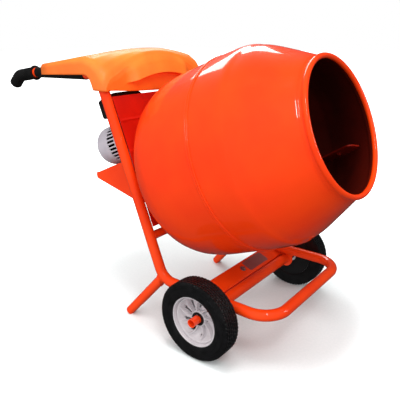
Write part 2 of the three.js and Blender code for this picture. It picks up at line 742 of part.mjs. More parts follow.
// ---------------------------------------------------------------- drive panel and guard
// A pressed sheet between drum and gearcase. Two cross folds set its middle back a little.
function drivePanel() {
  const [face, back, sheet] = [PANEL_AT + 3, PANEL_AT, 2.5];
  const [top, upperFold, lowerFold, bottom] = [297, 217, 116, -136];
  const outline = [
    [back, top], [back, upperFold], [back + 1.5, lowerFold], [back, bottom],
    [back + sheet, bottom], [face + 2.5, lowerFold], [face + 2.5, lowerFold + 3],
    [back + sheet + 1.5, lowerFold + 6], [back + sheet, upperFold - 4], [face + 3, upperFold],
    [face + 1, upperFold + 4], [back + sheet, top],
  ];
  const sheetSolid = alongY(polygon(outline), -221, 221);
  return cut(sheetSolid, turnedX(rod(0, 40, SHAFT_R + 3), 20));
}

const GUARD_Y = 211.4;
const GUARD_SHEET = 2;
const GUARD_TIP = [-190, 79];

// Two cheeks and a sloping floor that ends at the gearcase, with a low wall at the rear.
function motorGuard() {
  const [tipX, tipZ] = GUARD_TIP;
  const cheekOutline = [[-18, 94], [tipX, tipZ + 9], [tipX - 4, tipZ - 8], [-18, -52]];
  const cheeks = SIDES.map(([, side]) => {
    const [inner, outer] = [side * (GUARD_Y - GUARD_SHEET), side * GUARD_Y].sort((a, b) => a - b);
    return alongY(polygon(cheekOutline), inner, outer);
  });
  const slope = (tipZ - 8 + 52) / (tipX - 4 + 18);
  const floorAt = (x) => tipZ - 8 + (x - tipX + 4) * slope;
  const floorEnd = CASE_BACK - 1;
  const floor = polygon([
    [tipX - 4, tipZ - 8], [floorEnd, floorAt(floorEnd)], [floorEnd, floorAt(floorEnd) + 3],
    [tipX - 1, tipZ - 7], [tipX + 3, tipZ + 9], [tipX, tipZ + 9],
  ]);
  return join(cheeks[0], cheeks[1], alongY(floor, -GUARD_Y + 0.5, GUARD_Y - 0.5));
}

// ---------------------------------------------------------------- motor
const STATOR_AT = [-138, -80];

function motorBody() {
  const [front, back, bell] = [CASE_BACK - GAP, MOTOR_END + 62, 5];
  const outline = [
    [front, 24.3], [front, 70], [front - 8, 70], [front - 10, MOTOR_R - 5], [back, MOTOR_R - 5],
    [back, 24.3], [back + bell, 24.3], [back + bell, MOTOR_R - 5 - bell], [front - 8, MOTOR_R - 5 - bell],
    [front - 8, 24.3], [front, 24.3],
  ];
  const fins = Array.from({ length: 16 }, (_, i) => {
    const fin = block([back + 4, front - 9], [-1.6, 1.6], [MOTOR_R - 8, MOTOR_R]);
    return fin.rotateX((2 * Math.PI * i) / 16);
  });
  return join(turnedX(outline, 20), ...fins);
}

// A domed cover over the fan and the body's rear, with air slots round its front.
function fanCowl() {
  const wall = 2.5;
  const end = MOTOR_END;
  const outline = [
    [COWL_FRONT, COWL_R - wall], [COWL_FRONT, COWL_R], [end + 36, COWL_R], [end + 22, COWL_R - 2.5],
    [end + 12, COWL_R - 8.5], [end + 5, COWL_R - 17], [end + 1, COWL_R - 27], [end, COWL_R - 39], [end, 14],
    [end + wall, 14], [end + wall, COWL_R - 40], [end + 3.4, COWL_R - 28], [end + 7.1, COWL_R - 18.5],
    [end + 13.7, COWL_R - 10.7], [end + 23, COWL_R - 5], [end + 36, COWL_R - wall],
    [COWL_FRONT, COWL_R - wall],
  ];
  const slots = Array.from({ length: 16 }, (_, i) => {
    const slot = block([COWL_FRONT - 42, COWL_FRONT - 10], [-5, 5], [COWL_R - 6, COWL_R + 4]);
    return slot.rotateX((2 * Math.PI * i) / 16);
  });
  return cut(turnedX(outline, 32), ...slots);
}

const FAN_AT = [-190, -162];

function fan() {
  const [from, to] = FAN_AT;
  const hub = turnedX(ring(from, to, 7 + GAP, 16), 16);
  const blades = Array.from({ length: 7 }, (_, i) => {
    const blade = block([from + 2, to - 2], [-1.5, 1.5], [14, 53]);
    return blade.rotateX((2 * Math.PI * i) / 7);
  });
  return join(hub, ...blades);
}

// It sits on the cowl, with a saddle that follows the cowl's curve.
function terminalBox() {
  const top = MOTOR_H + COWL_R;
  const box = block([-138, -90], [MOTOR_Y + 8, MOTOR_Y + 68], [top + 3, top + 27]);
  const saddle = block([-132, -96], [MOTOR_Y + 12, MOTOR_Y + 36], [top - 8, top + 5]);
  const clearance = turnedX(rod(-300, 0, COWL_R + GAP), 32).translate(0, MOTOR_Y, MOTOR_H);
  return cut(join(box, saddle), clearance);
}

function buildMotor() {
  const atMotor = (geometry) => geometry.translate(0, MOTOR_Y, MOTOR_H);
  place(tilted, 'motor_body', atMotor(motorBody()), ALUMINIUM);
  place(tilted, 'fan_cowl', atMotor(fanCowl()), GREY_PLASTIC);
  place(tilted, 'cooling_fan', atMotor(fan()), BLACK_PLASTIC);
  place(tilted, 'motor_shaft', motorShaft(), BARE_STEEL);
  const [front, back] = [CASE_BACK - 8, MOTOR_END + 62];
  place(tilted, 'motor_bearing_front', atMotor(bearing(front, front + 7, 7 + RUN, 24)), BARE_STEEL);
  place(tilted, 'motor_bearing_rear', atMotor(bearing(back, back + 5, 7 + RUN, 24)), BARE_STEEL);
  place(tilted, 'stator', atMotor(turnedX(ring(...STATOR_AT, 37, MOTOR_R - 11.2), 24)), COPPER_WOUND);
  place(tilted, 'rotor', atMotor(turnedX(ring(...STATOR_AT, 7 + GAP, 35.5), 24)), BARE_STEEL);
  place(tilted, 'terminal_box', terminalBox(), BLACK_PLASTIC);
}

// ---------------------------------------------------------------- switch
const SWITCH = { x: [-70, -22], y: [-207, -48], z: [246, 310] };
const BUTTON_R = 9;
const BUTTON_Z = 274;
const BUTTON_Y = { start: -187, stop: -157 };

// The box's face is at the rear, towards whoever holds the handles.
function switchBox() {
  const wells = Object.values(BUTTON_Y).map((y) => (
    turnedX(rod(SWITCH.x[0] - 1, SWITCH.x[0] + 14, BUTTON_R + 0.5), 16).translate(0, y, BUTTON_Z)
  ));
  const inletHole = block([-66.5, -48], [-141, -121.5], [240, 262]);
  return cut(block(SWITCH.x, SWITCH.y, SWITCH.z), ...wells, inletHole);
}

function buildSwitch() {
  place(tilted, 'switch_box', switchBox(), BLACK_PLASTIC);
  const cap = rod(SWITCH.x[0] - 5, SWITCH.x[0] + 7, BUTTON_R);
  const button = (y) => turnedX(cap, 16).translate(0, y, BUTTON_Z);
  place(tilted, 'start_button', button(BUTTON_Y.start), GREEN_PLASTIC);
  place(tilted, 'stop_button', button(BUTTON_Y.stop), RED_PLASTIC);
  const inlet = block([-66, -48.5], [-140.5, -122], [236, 261.5]);
  place(tilted, 'power_inlet', cut(inlet, block([-62.5, -52], [-137, -125.5], [230, 254])), BLACK_PLASTIC);
}

// ---------------------------------------------------------------- hood
// Cross-sections of the hood's outside, from front to rear: place along X, height of the crown, height
// of the shoulders above the handles, and how far the shoulders are rounded.
const HOOD_SECTIONS = [
  { x: -404, crown: 862, shoulder: 782, half: 244, round: 60 },
  { x: -412, crown: 873, shoulder: 800, half: 249, round: 55 },
  { x: -430, crown: 879, shoulder: 822, half: 252, round: 45 },
  { x: -462, crown: 881, shoulder: 842, half: 253, round: 34 },
  { x: -500, crown: 879, shoulder: 851, half: 253, round: 26 },
  { x: -560, crown: 868, shoulder: 846, half: 253, round: 22 },
  { x: -640, crown: 850, shoulder: 836, half: 253, round: 18 },
  { x: -722, crown: 832, shoulder: 826, half: 253, round: 16 },
];
const HOOD_WALL = 3;
const HOOD_HEM_Z = 740;
const HOOD_CAVITY = [-415, -740]; // where the inside goes from its domed front to its open rear end
const HOOD_ROOF_END = -590;

function hoodSection({ x, crown, shoulder, half, round }, inset, drop) {
  const steps = 4;
  const [top, side, turn] = [crown - inset, half - inset, Math.max(round - inset, 4)];
  const knee = shoulder - inset;
  const right = [[side, HOOD_HEM_Z - drop]];
  for (let i = 0; i <= steps; i += 1) {
    const angle = (i / steps) * 75 * DEG;
    right.push([side - turn * (1 - Math.cos(angle)), knee - turn * 0.55 + turn * 0.9 * Math.sin(angle)]);
  }
  const [lastY, lastZ] = right[right.length - 1];
  for (let i = 1; i <= steps; i += 1) {
    const y = lastY * (1 - i / steps);
    right.push([y, lastZ + (top - lastZ) * (1 - (y / lastY) ** 2)]);
  }
  const left = right.slice(0, -1).reverse().map(([y, z]) => [-y, z]);
  return [...right, ...left].map(([y, z]) => new THREE.Vector3(x, y, z));
}

function hood() {
  const outer = lofted(HOOD_SECTIONS.map((section) => hoodSection(section, 0, 0)));
  const [first, second, ...rest] = HOOD_SECTIONS;
  const last = rest[rest.length - 1];
  const cavity = [
    { ...first, x: first.x - HOOD_WALL }, { ...second, x: HOOD_CAVITY[0] }, ...rest.slice(0, -1),
    { ...last, x: HOOD_CAVITY[1] },
  ];
  const inner = lofted(cavity.map((section) => hoodSection(section, HOOD_WALL, 20)));
  const armpitX = -484;
  const backOfLeg = (z) => columnX(z) - 26;
  const below = polygon([
    [backOfLeg(700), 700], [backOfLeg(790), 790], [armpitX - 8, 803], [-740, 794], [-740, 700],
  ]);
  const betweenArms = block([-760, HOOD_ROOF_END], [-204, 204], [700, 900]);
  const hem = polygon([
    [-300, 700], [-300, 757], [-215, 755], [-120, 746], [0, 742],
    [120, 746], [215, 755], [300, 757], [300, 700],
  ]);
  return cut(
    outer,
    inner,
    alongY(below, -300, 300),
    betweenArms,
    alongX(hem, -500, -390),
  );
}

function buildHood() {
  place(model, 'hood', hood(), HOOD_PLASTIC);
}

// ---------------------------------------------------------------- build
buildFrameTubes();
buildAxle();
buildWheels();
buildGrips();
buildDrum();
buildGears();
buildGearcase();
place(tilted, 'drive_panel', drivePanel(), PANEL_PAINT);
place(tilted, 'motor_guard', motorGuard(), PANEL_PAINT);
buildMotor();
buildSwitch();
buildHood();

// The origin is under the middle of the whole mixer's box.
model.updateMatrixWorld(true);
const extent = new THREE.Box3().setFromObject(model, true);
model.position.x = -(extent.min.x + extent.max.x) / 2;

export default model;
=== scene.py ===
"""Looks for a portable electric tip-over concrete mixer, built round its CAD model.

Outlines are in millimetres, in two frames of the mixer's own. The ground frame has its origin on the floor
under the axle, with X forwards and Z up. The shaft frame has its origin where the drum's shaft crosses the
leaning columns: x runs along the shaft towards the mouth, y to the mixer's left and h up the columns.
"""

import json
import math

import bmesh
import bpy
from mathutils import Matrix, Vector
from mathutils.geometry import tessellate_polygon


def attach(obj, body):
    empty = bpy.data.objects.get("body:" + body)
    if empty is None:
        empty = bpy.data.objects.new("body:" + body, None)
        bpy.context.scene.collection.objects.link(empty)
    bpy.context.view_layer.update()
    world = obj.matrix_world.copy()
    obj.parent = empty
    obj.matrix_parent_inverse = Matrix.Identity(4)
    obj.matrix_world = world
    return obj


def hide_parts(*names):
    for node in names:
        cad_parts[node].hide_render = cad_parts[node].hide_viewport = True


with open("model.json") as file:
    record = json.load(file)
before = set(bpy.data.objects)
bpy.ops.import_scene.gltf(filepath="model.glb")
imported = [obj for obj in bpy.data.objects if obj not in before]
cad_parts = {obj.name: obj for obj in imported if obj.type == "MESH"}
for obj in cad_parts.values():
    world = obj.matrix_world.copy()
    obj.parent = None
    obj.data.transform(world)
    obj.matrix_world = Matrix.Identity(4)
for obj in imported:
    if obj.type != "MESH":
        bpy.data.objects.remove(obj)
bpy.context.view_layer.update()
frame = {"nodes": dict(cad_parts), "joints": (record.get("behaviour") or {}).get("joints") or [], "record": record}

MM = 0.001
TURN = 2 * math.pi
JOINTS = {joint["name"]: joint for joint in frame["joints"]}
AXLE = Vector(JOINTS["left_wheel_spin"]["pos_m"])
SHAFT_ROOT = Vector(JOINTS["drum_spin"]["pos_m"])
SHAFT = Vector(JOINTS["drum_spin"]["axis"]).normalized()
UP_COLUMN = Vector((-SHAFT.z, 0, SHAFT.x))
MOTOR_ROOT = Vector(JOINTS["motor_spin"]["pos_m"])

# ---------------------------------------------------------------- sizes, in millimetres
TUBE_R = 17
SIDE_Y = 229
BASE_Z = 162
BEND_R = 60
WHEEL_R = 125
AXLE_R = 13
FOOT_R = 16
LEAN = math.atan2(SHAFT.z, SHAFT.x)
HEEL_X = -198
HANDLE_Z = 805
HANDLE_END = (-922, 757)
DROOP = (-892, 783)
KINK = (-775, 799)
HOOP_JOINT_X = 44
HOOP_X = 210
HOOP_CORNER_R = 78


def column_x(z):
    """Where the column's centre line is at a height."""
    return HEEL_X - (z - BASE_Z) * math.tan(LEAN)


# ---------------------------------------------------------------- places
def ground(x, y, z):
    return Vector((AXLE.x + x * MM, y * MM, z * MM))


def shaft(x, y, h):
    return SHAFT_ROOT + (SHAFT * x + UP_COLUMN * h) * MM + Vector((0, y * MM, 0))


def motor(x, y, h):
    """Along the motor's own axis, which is parallel to the drum's shaft."""
    return MOTOR_ROOT + (SHAFT * x + UP_COLUMN * h) * MM + Vector((0, y * MM, 0))


# ---------------------------------------------------------------- materials
def linear(hex_colour):
    """An sRGB hex colour as linear RGBA."""
    parts = [int(hex_colour[i:i + 2], 16) / 255 for i in (1, 3, 5)]
    return [p / 12.92 if p <= 0.04045 else ((p + 0.055) / 1.055) ** 2.4 for p in parts] + [1]


def add(tree, kind, inputs=None, **options):
    """Adds a node with its options. An input is a plain value, or an output that it is linked to."""
    made = tree.nodes.new(kind)
    for name, value in options.items():
        setattr(made, name, value)
    for name, value in (inputs or {}).items():
        if isinstance(value, bpy.types.NodeSocket):
            tree.links.new(value, made.inputs[name])
        else:
            made.inputs[name].default_value = value
    return made


def material(name):
    """A named material with an empty tree, and its object coordinates in metres."""
    made = bpy.data.materials.new(name)
    made.use_nodes = True
    tree = made.node_tree
    tree.nodes.clear()
    coordinates = add(tree, "ShaderNodeTexCoord").outputs["Object"]
    return made, tree, coordinates


def two_tone(tree, factor, first, second, low=0.35, high=0.65):
    """A colour between two hex tones, as factor goes from low to high."""
    limits = {"Value": factor, "From Min": low, "From Max": high}
    share = add(tree, "ShaderNodeMapRange", limits).outputs["Result"]
    # The mixer's sockets share their names, so they go by number: 0 is the share, 6 and 7 the colours.
    blend = {0: share, 6: linear(first), 7: linear(second)}
    return add(tree, "ShaderNodeMix", blend, data_type="RGBA").outputs[2]



def spread(tree, factor, low, high):
    """A number from low to high as factor goes from 0.3 to 0.7."""
    limits = {"Value": factor, "From Min": 0.3, "From Max": 0.7, "To Min": low, "To Max": high}
    return add(tree, "ShaderNodeMapRange", limits).outputs["Result"]


def finish_material(tree, inputs):
    shader = add(tree, "ShaderNodeBsdfPrincipled", inputs)
    add(tree, "ShaderNodeOutputMaterial", {"Surface": shader.outputs["BSDF"]})


def per_metre(millimetres):
    """A texture scale that repeats about once in that many millimetres."""
    return 1000 / millimetres


def enamel(name, bright, deep, roughness, coat):
    """Stove enamel on steel: a wet gloss with a faint orange peel and a slow drift in tone."""
    made, tree, place = material(name)
    drift = add(tree, "ShaderNodeTexNoise", {"Vector": place, "Scale": per_metre(160), "Detail": 3})
    # Real orange peel is 1 to 2 mm across. 5 mm shows in a picture of the whole mixer.
    peel = add(tree, "ShaderNodeTexNoise", {"Vector": place, "Scale": per_metre(5), "Detail": 2})
    dust = add(tree, "ShaderNodeTexNoise", {"Vector": place, "Scale": per_metre(30), "Detail": 6})
    bump = add(tree, "ShaderNodeBump", {"Height": peel.outputs["Fac"], "Strength": 0.04, "Distance": 0.001})
    finish_material(tree, {
        "Base Color": two_tone(tree, drift.outputs["Fac"], deep, bright),
        "Roughness": spread(tree, dust.outputs["Fac"], roughness, roughness + 0.1),
        "Normal": bump.outputs["Normal"],
        "Specular IOR Level": 0.12,
        "Coat Weight": coat,
        "Coat Roughness": 0.05,
        "IOR": 1.5,
    })
    return made


def moulded(name, bright, deep, roughness, grain_mm, strength):
    """Moulded plastic: an even colour, a spark-eroded grain and a soft sheen."""
    made, tree, place = material(name)
    drift = add(tree, "ShaderNodeTexNoise", {"Vector": place, "Scale": per_metre(90), "Detail": 3})
    grain = add(tree, "ShaderNodeTexNoise", {"Vector": place, "Scale": per_metre(grain_mm), "Detail": 3})
    relief = {"Height": grain.outputs["Fac"], "Strength": strength, "Distance": 0.0006}
    bump = add(tree, "ShaderNodeBump", relief)
    finish_material(tree, {
        "Base Color": two_tone(tree, drift.outputs["Fac"], deep, bright),
        "Roughness": spread(tree, grain.outputs["Fac"], roughness - 0.05, roughness + 0.08),
        "Normal": bump.outputs["Normal"],
        "IOR": 1.46,
    })
    return made


def rubber(name, bright, deep, roughness):
    """Vulcanised rubber: near black, dull, with a fine bloom that greys it unevenly."""
    made, tree, place = material(name)
    bloom = add(tree, "ShaderNodeTexNoise", {"Vector": place, "Scale": per_metre(22), "Detail": 6})
    pores = add(tree, "ShaderNodeTexNoise", {"Vector": place, "Scale": per_metre(2.5), "Detail": 4})
    bump = add(tree, "ShaderNodeBump", {"Height": pores.outputs["Fac"], "Strength": 0.25, "Distance": 0.0005})
    finish_material(tree, {
        "Base Color": two_tone(tree, bloom.outputs["Fac"], deep, bright),
        "Roughness": spread(tree, bloom.outputs["Fac"], roughness, roughness + 0.15),
        "Normal": bump.outputs["Normal"],
        "IOR": 1.52,
        "Specular IOR Level": 0.4,
    })
    return made


def metal(name, bright, deep, roughness, grain_mm, stretch):
    """Bare metal: tool marks stretched across the axis, with brighter and duller bands."""
    made, tree, place = material(name)
    stretched = add(tree, "ShaderNodeMapping", {"Vector": place, "Scale": stretch}).outputs["Vector"]
    marks = add(tree, "ShaderNodeTexNoise", {"Vector": stretched, "Scale": per_metre(grain_mm), "Detail": 5})
    bump = add(tree, "ShaderNodeBump", {"Height": marks.outputs["Fac"], "Strength": 0.2, "Distance": 0.0004})
    finish_material(tree, {
        "Base Color": two_tone(tree, marks.outputs["Fac"], deep, bright),
        "Roughness": spread(tree, marks.outputs["Fac"], roughness, roughness + 0.18),
        "Normal": bump.outputs["Normal"],
        "Metallic": 1.0,
    })
    return made


def wound(name, bright, deep):
    """Varnished winding wire: fine turns side by side, 1 mm apart."""
    made, tree, place = material(name)
    turns = add(tree, "ShaderNodeTexWave", {"Vector": place, "Scale": per_metre(7), "Distortion": 1.5})
    bump = add(tree, "ShaderNodeBump", {"Height": turns.outputs["Fac"], "Strength": 0.5, "Distance": 0.001})
    finish_material(tree, {
        "Base Color": two_tone(tree, turns.outputs["Fac"], deep, bright, 0, 1),
        "Roughness": 0.3,
        "Normal": bump.outputs["Normal"],
        "Metallic": 0.8,
    })
    return made


DRUM_ENAMEL = enamel("gloss_enamel_on_spun_steel", "#ff4205", "#fa3904", 0.42, 0.9)
FRAME_ENAMEL = enamel("gloss_enamel_on_tube", "#ff4810", "#f53c0a", 0.35, 0.9)
# The drive panel's red paint, darkened for the shade it lies in behind the drum: partly its own paint, partly
# painted shade.
PANEL_ENAMEL_PAINTED_SHADE = enamel("satin_enamel_darkened_as_painted_shade", "#cf1a08", "#b01005", 0.42, 0.2)
# Painted shade: the inside of the drum is coloured a dark brown-red to stand in for the shade inside it.
DRUM_INSIDE_PAINTED_SHADE = enamel("drum_inside_darkened_as_painted_shade", "#5c1208", "#431008", 0.55, 0.0)
# Painted shade: the paddles' red is darkened to stand in for the shade on them inside the drum.
PADDLE_ENAMEL_PAINTED_SHADE = enamel("red_enamel_darkened_as_painted_shade_on_paddles", "#8f1a0c", "#6b1208", 0.4, 0.1)
HOOD_PLASTIC = moulded("grained_polyethylene", "#ff8026", "#fb721f", 0.42, 2.2, 0.1)
RIM_PLASTIC = moulded("grey_polypropylene", "#d2cccf", "#c4bdc1", 0.42, 2, 0.1)
COWL_PLASTIC = moulded("light_grey_polyamide", "#cfc8d0", "#bfb8c1", 0.38, 2, 0.1)
BLACK_PLASTIC = moulded("black_glass_filled_polyamide", "#1a1a1b", "#101011", 0.4, 1.8, 0.2)
GREEN_BUTTON = moulded("green_abs", "#1f9a45", "#17853a", 0.25, 3, 0.05)
RED_BUTTON = moulded("red_abs", "#d01c1c", "#b91414", 0.25, 3, 0.05)
TYRE_RUBBER = rubber("solid_tyre_rubber", "#131214", "#080809", 0.3)
GRIP_RUBBER = rubber("grip_rubber", "#131313", "#090909", 0.4)
ZINC_STEEL = metal("zinc_plated_steel", "#c9ccd0", "#9fa3a8", 0.25, 6, (1, 1, 1))
TURNED_STEEL = metal("turned_steel", "#b9bcc0", "#8d9095", 0.25, 4, (1, 6, 1))
CAST_ALUMINIUM = metal("die_cast_aluminium", "#c4c6c9", "#a2a5a9", 0.42, 3, (1, 1, 1))
# Painted shade: the motor body is near black so that it reads as shade through the cowl's air slots.
MOTOR_BODY_PAINTED_SHADE = metal("die_casting_darkened_as_painted_shade", "#3a3b3e", "#2a2b2d", 0.5, 3, (1, 1, 1))
GEAR_IRON = metal("greased_gear_iron", "#6a6660", "#45423e", 0.35, 5, (1, 1, 1))
# A pink-brown film, laid as a thin patch on the cross plate.
PINK_BROWN_FILM = moulded("pink_brown_film", "#9c5854", "#8f4b48", 0.4, 3, 0.05)
WINDING = wound("varnished_copper_winding", "#b5652c", "#6d3415")

BY_SLOT = {
    "orange_paint": FRAME_ENAMEL, "red_paint": PANEL_ENAMEL_PAINTED_SHADE, "hood_plastic": HOOD_PLASTIC,
    "tyre_rubber": TYRE_RUBBER, "grip_rubber": GRIP_RUBBER, "rim_plastic": RIM_PLASTIC,
    "black_plastic": BLACK_PLASTIC, "cowl_plastic": COWL_PLASTIC, "bare_steel": TURNED_STEEL,
    "cast_aluminium": CAST_ALUMINIUM, "gear_iron": GEAR_IRON, "winding": WINDING,
    "green_plastic": GREEN_BUTTON, "red_plastic": RED_BUTTON, "label_foil": PINK_BROWN_FILM,
}


def dress_cad_nodes():
    """Every CAD node gets the full material of its slot. Most are then replaced by finer pieces."""
    for part in frame["record"]["subparts"]:
        node = frame["nodes"][part["node"]]
        node.data.materials.clear()
        node.data.materials.append(BY_SLOT[part["material_slot"]])


# ---------------------------------------------------------------- forms: lists of points and faces
def merged(forms):
    """Several forms as one."""
    points, faces = [], []
    for form_points, form_faces in forms:
        start = len(points)
        points += form_points
        faces += [[start + i for i in face] for face in form_faces]
    return points, faces


def arc(centre, radius, first, last, steps):
    """Points on an arc, by angles in degrees."""
    angles = [math.radians(first + (last - first) * i / steps) for i in range(steps + 1)]
    return [(centre[0] + radius * math.cos(a), centre[1] + radius * math.sin(a)) for a in angles]


def smooth_line(points, steps):
    """A Catmull-Rom line through flat points."""
    padded = [points[0], *points, points[-1]]
    line = []
    for i in range(1, len(padded) - 2):
        a, b, c, d = (Vector(p) for p in padded[i - 1:i + 3])
        for k in range(steps):
            t = k / steps
            line.append(((2 * b) + (c - a) * t + (2 * a - 5 * b + 4 * c - d) * t * t
                         + (3 * b - a - 3 * c + d) * t ** 3) / 2)
    return [tuple(p) for p in line] + [tuple(points[-1])]


def banded(rows, sides, closed=False, is_open=None):
    """Faces between rows of points that each go round once. Where is_open(row, side) holds there is none."""
    faces = []
    for r in range(rows if closed else rows - 1):
        after = (r + 1) % rows
        for k in range(sides):
            j = (k + 1) % sides
            if not (is_open and is_open(r, k)):
                faces.append([r * sides + k, r * sides + j, after * sides + j, after * sides + k])
    return faces


def open_rings(rings, sides, place, is_open):
    """A turned sheet with no thickness, from rings of (along, radius), with holes. A modifier thickens it."""
    angles = [TURN * i / sides for i in range(sides)]
    points = [place(along, r * math.cos(a), r * math.sin(a)) for along, r in rings for a in angles]
    return points, banded(len(rings), sides, is_open=is_open)


def turned(outline, sides, place, shift=None):
    """A closed outline of (along, radius) spun about an axis. Shift moves a point (along, radius, angle)."""
    points = []
    for i in range(sides):
        angle = TURN * i / sides
        for along, radius in outline:
            a, r = shift(along, radius, angle) if shift else (along, radius)
            points.append(place(a, r * math.cos(angle), r * math.sin(angle)))
    return points, banded(sides, len(outline), closed=True)


def on_wheel(side):
    """Places for a turned wheel part: along the axle outwards, on the left or the right."""
    return lambda along, a, b: ground(a * side, along * side, b + WHEEL_R)


def swept(line, radius, sides=32):
    """A capped round bar along points in metres. Radius may be a function of the share of its length."""
    reach = radius if callable(radius) else (lambda share: radius)
    tangents = []
    for i in range(len(line)):
        ahead, back = line[min(i + 1, len(line) - 1)], line[max(i - 1, 0)]
        tangents.append((ahead - back).normalized())
    across = tangents[0].orthogonal().normalized()
    lengths = [0]
    for a, b in zip(line, line[1:]):
        lengths.append(lengths[-1] + (b - a).length)
    points = []
    for i, centre in enumerate(line):
        across = (across - tangents[i] * across.dot(tangents[i])).normalized()
        other = tangents[i].cross(across)
        r = reach(lengths[i] / lengths[-1]) * MM
        for k in range(sides):
            angle = TURN * k / sides
            points.append(centre + (across * math.cos(angle) + other * math.sin(angle)) * r)
    faces = [list(range(sides))[::-1], [len(points) - sides + k for k in range(sides)]]
    return points, faces + banded(len(line), sides)


def ringed(line, radius, sides=10):
    """A round bead along a closed loop of points."""
    points, count = [], len(line)
    for i, centre in enumerate(line):
        tangent = (line[(i + 1) % count] - line[i - 1]).normalized()
        middle = sum(line, Vector()) / count
        across = (centre - middle)
        across = (across - tangent * across.dot(tangent)).normalized()
        other = tangent.cross(across)
        # The bead swells once for each dip of the filler rod, about every 4 mm.
        swell = 1 + 0.16 * math.sin(i * 2.1)
        for k in range(sides):
            angle = TURN * k / sides
            points.append(centre + (across * math.cos(angle) + other * math.sin(angle)) * radius * swell * MM)
    return points, banded(count, sides, closed=True)


def bent_line(corners, radii, steps=14):
    """A line through corners, in metres, with an arc of a radius in millimetres at each inner corner."""
    points = [corners[0]]
    for i, radius in enumerate(radii, 1):
        back = (corners[i - 1] - corners[i]).normalized()
        ahead = (corners[i + 1] - corners[i]).normalized()
        half = back.angle(ahead) / 2
        centre = corners[i] + (back + ahead).normalized() * (radius * MM / math.sin(half))
        start = corners[i] + back * (radius * MM / math.tan(half)) - centre
        axis = ahead.cross(back).normalized()
        for k in range(steps + 1):
            points.append(centre + Matrix.Rotation((math.pi - 2 * half) * k / steps, 3, axis) @ start)
    return points + [corners[-1]]


def plate(outline, low, high, place, holes=()):
    """A flat outline, with any holes in it, given thickness. Place takes (first, second, depth)."""
    loops = [list(outline), *holes]
    flat = [point for loop in loops for point in loop]
    count = len(flat)
    points = [place(a, b, depth) for depth in (low, high) for a, b in flat]
    if holes:
        caps = tessellate_polygon([[Vector((a, b, 0)) for a, b in loop] for loop in loops])
    else:
        caps = [list(range(count))]
    faces = [list(cap)[::-1] for cap in caps] + [[count + i for i in cap] for cap in caps]
    start = 0
    for loop in loops:
        for i in range(len(loop)):
            a, b = start + i, start + (i + 1) % len(loop)
            faces.append([a, b, count + b, count + a])
        start += len(loop)
    return points, faces


def rounded_rectangle(a, b, radius, steps=5):
    """Corners from a = (low, low) to b = (high, high), rounded."""
    (x0, y0), (x1, y1) = a, b
    return (arc((x1 - radius, y0 + radius), radius, -90, 0, steps)
            + arc((x1 - radius, y1 - radius), radius, 0, 90, steps)
            + arc((x0 + radius, y1 - radius), radius, 90, 180, steps)
            + arc((x0 + radius, y0 + radius), radius, 180, 270, steps))


def hexagon(radius):
    return [(radius * math.cos(TURN * i / 6), radius * math.sin(TURN * i / 6)) for i in range(6)]


def disc(radius, sides=28, x=0, y=0):
    angles = [TURN * i / sides for i in range(sides)]
    return [(x + radius * math.cos(a), y + radius * math.sin(a)) for a in angles]


def bolt_head(centre, outwards, size, sides=6):
    """A hex head on a washer, standing on centre and pointing outwards. Size is the head's radius."""
    across = outwards.orthogonal().normalized()
    other = outwards.cross(across)

    def place(a, b, depth):
        return centre + (across * a + other * b + outwards * depth) * MM

    washer = plate(disc(size * 1.45), 0, size * 0.18, place)
    head = plate(hexagon(size) if sides == 6 else disc(size), size * 0.18, size * 0.85, place)
    cap = plate(disc(size * 0.86), size * 0.8, size * 0.95, place)
    return merged([washer, head, cap])


# ---------------------------------------------------------------- pieces
def piece(name, form, finishes, body, nodes=(), slot=None, bevel=0, wall=0, inside=None, sharp=40):
    """Makes an object in the row frame that rides on a body, and stands for the named CAD nodes."""
    points, faces = form
    mesh = bpy.data.meshes.new(name)
    mesh.from_pydata([tuple(p) for p in points], [], faces)
    finishes = finishes if isinstance(finishes, list) else [finishes]
    for finish in finishes:
        mesh.materials.append(finish)
    if inside:
        for polygon in mesh.polygons:
            polygon.material_index = 1 if inside(polygon.index) else 0
    work = bmesh.new()
    work.from_mesh(mesh)
    bmesh.ops.remove_doubles(work, verts=work.verts, dist=1e-6)
    bmesh.ops.recalc_face_normals(work, faces=work.faces)
    work.to_mesh(mesh)
    work.free()
    for polygon in mesh.polygons:
        polygon.use_smooth = True
    made = bpy.data.objects.new(name, mesh)
    bpy.context.scene.collection.objects.link(made)
    if bevel:
        edge = made.modifiers.new("edge", "BEVEL")
        edge.width = bevel * MM
        edge.segments = 2
        edge.limit_method = "ANGLE"
        edge.angle_limit = math.radians(30)
        made.modifiers.new("shade", "WEIGHTED_NORMAL")
    else:
        mesh.set_sharp_from_angle(angle=math.radians(sharp))
    if wall:
        sheet = made.modifiers.new("wall", "SOLIDIFY")
        sheet.thickness = wall * MM
        sheet.offset = -1
    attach(made, body)
    if nodes:
        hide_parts(*nodes)
    return made


SIDES = (("left", 1), ("right", -1))


# ---------------------------------------------------------------- frame tubes
def side_line(y):
    corners = [HANDLE_END, DROOP, KINK, (column_x(HANDLE_Z), HANDLE_Z), (HEEL_X, BASE_Z),
               (HOOP_JOINT_X, BASE_Z)]
    return bent_line([ground(x, y, z) for x, z in corners], [40, 300, BEND_R, BEND_R])


def hoop_line():
    corners = [(HOOP_JOINT_X, -SIDE_Y), (HOOP_X, -SIDE_Y), (HOOP_X, SIDE_Y), (HOOP_JOINT_X, SIDE_Y)]
    return bent_line([ground(x, y, BASE_Z) for x, y in corners], [HOOP_CORNER_R, HOOP_CORNER_R], 20)


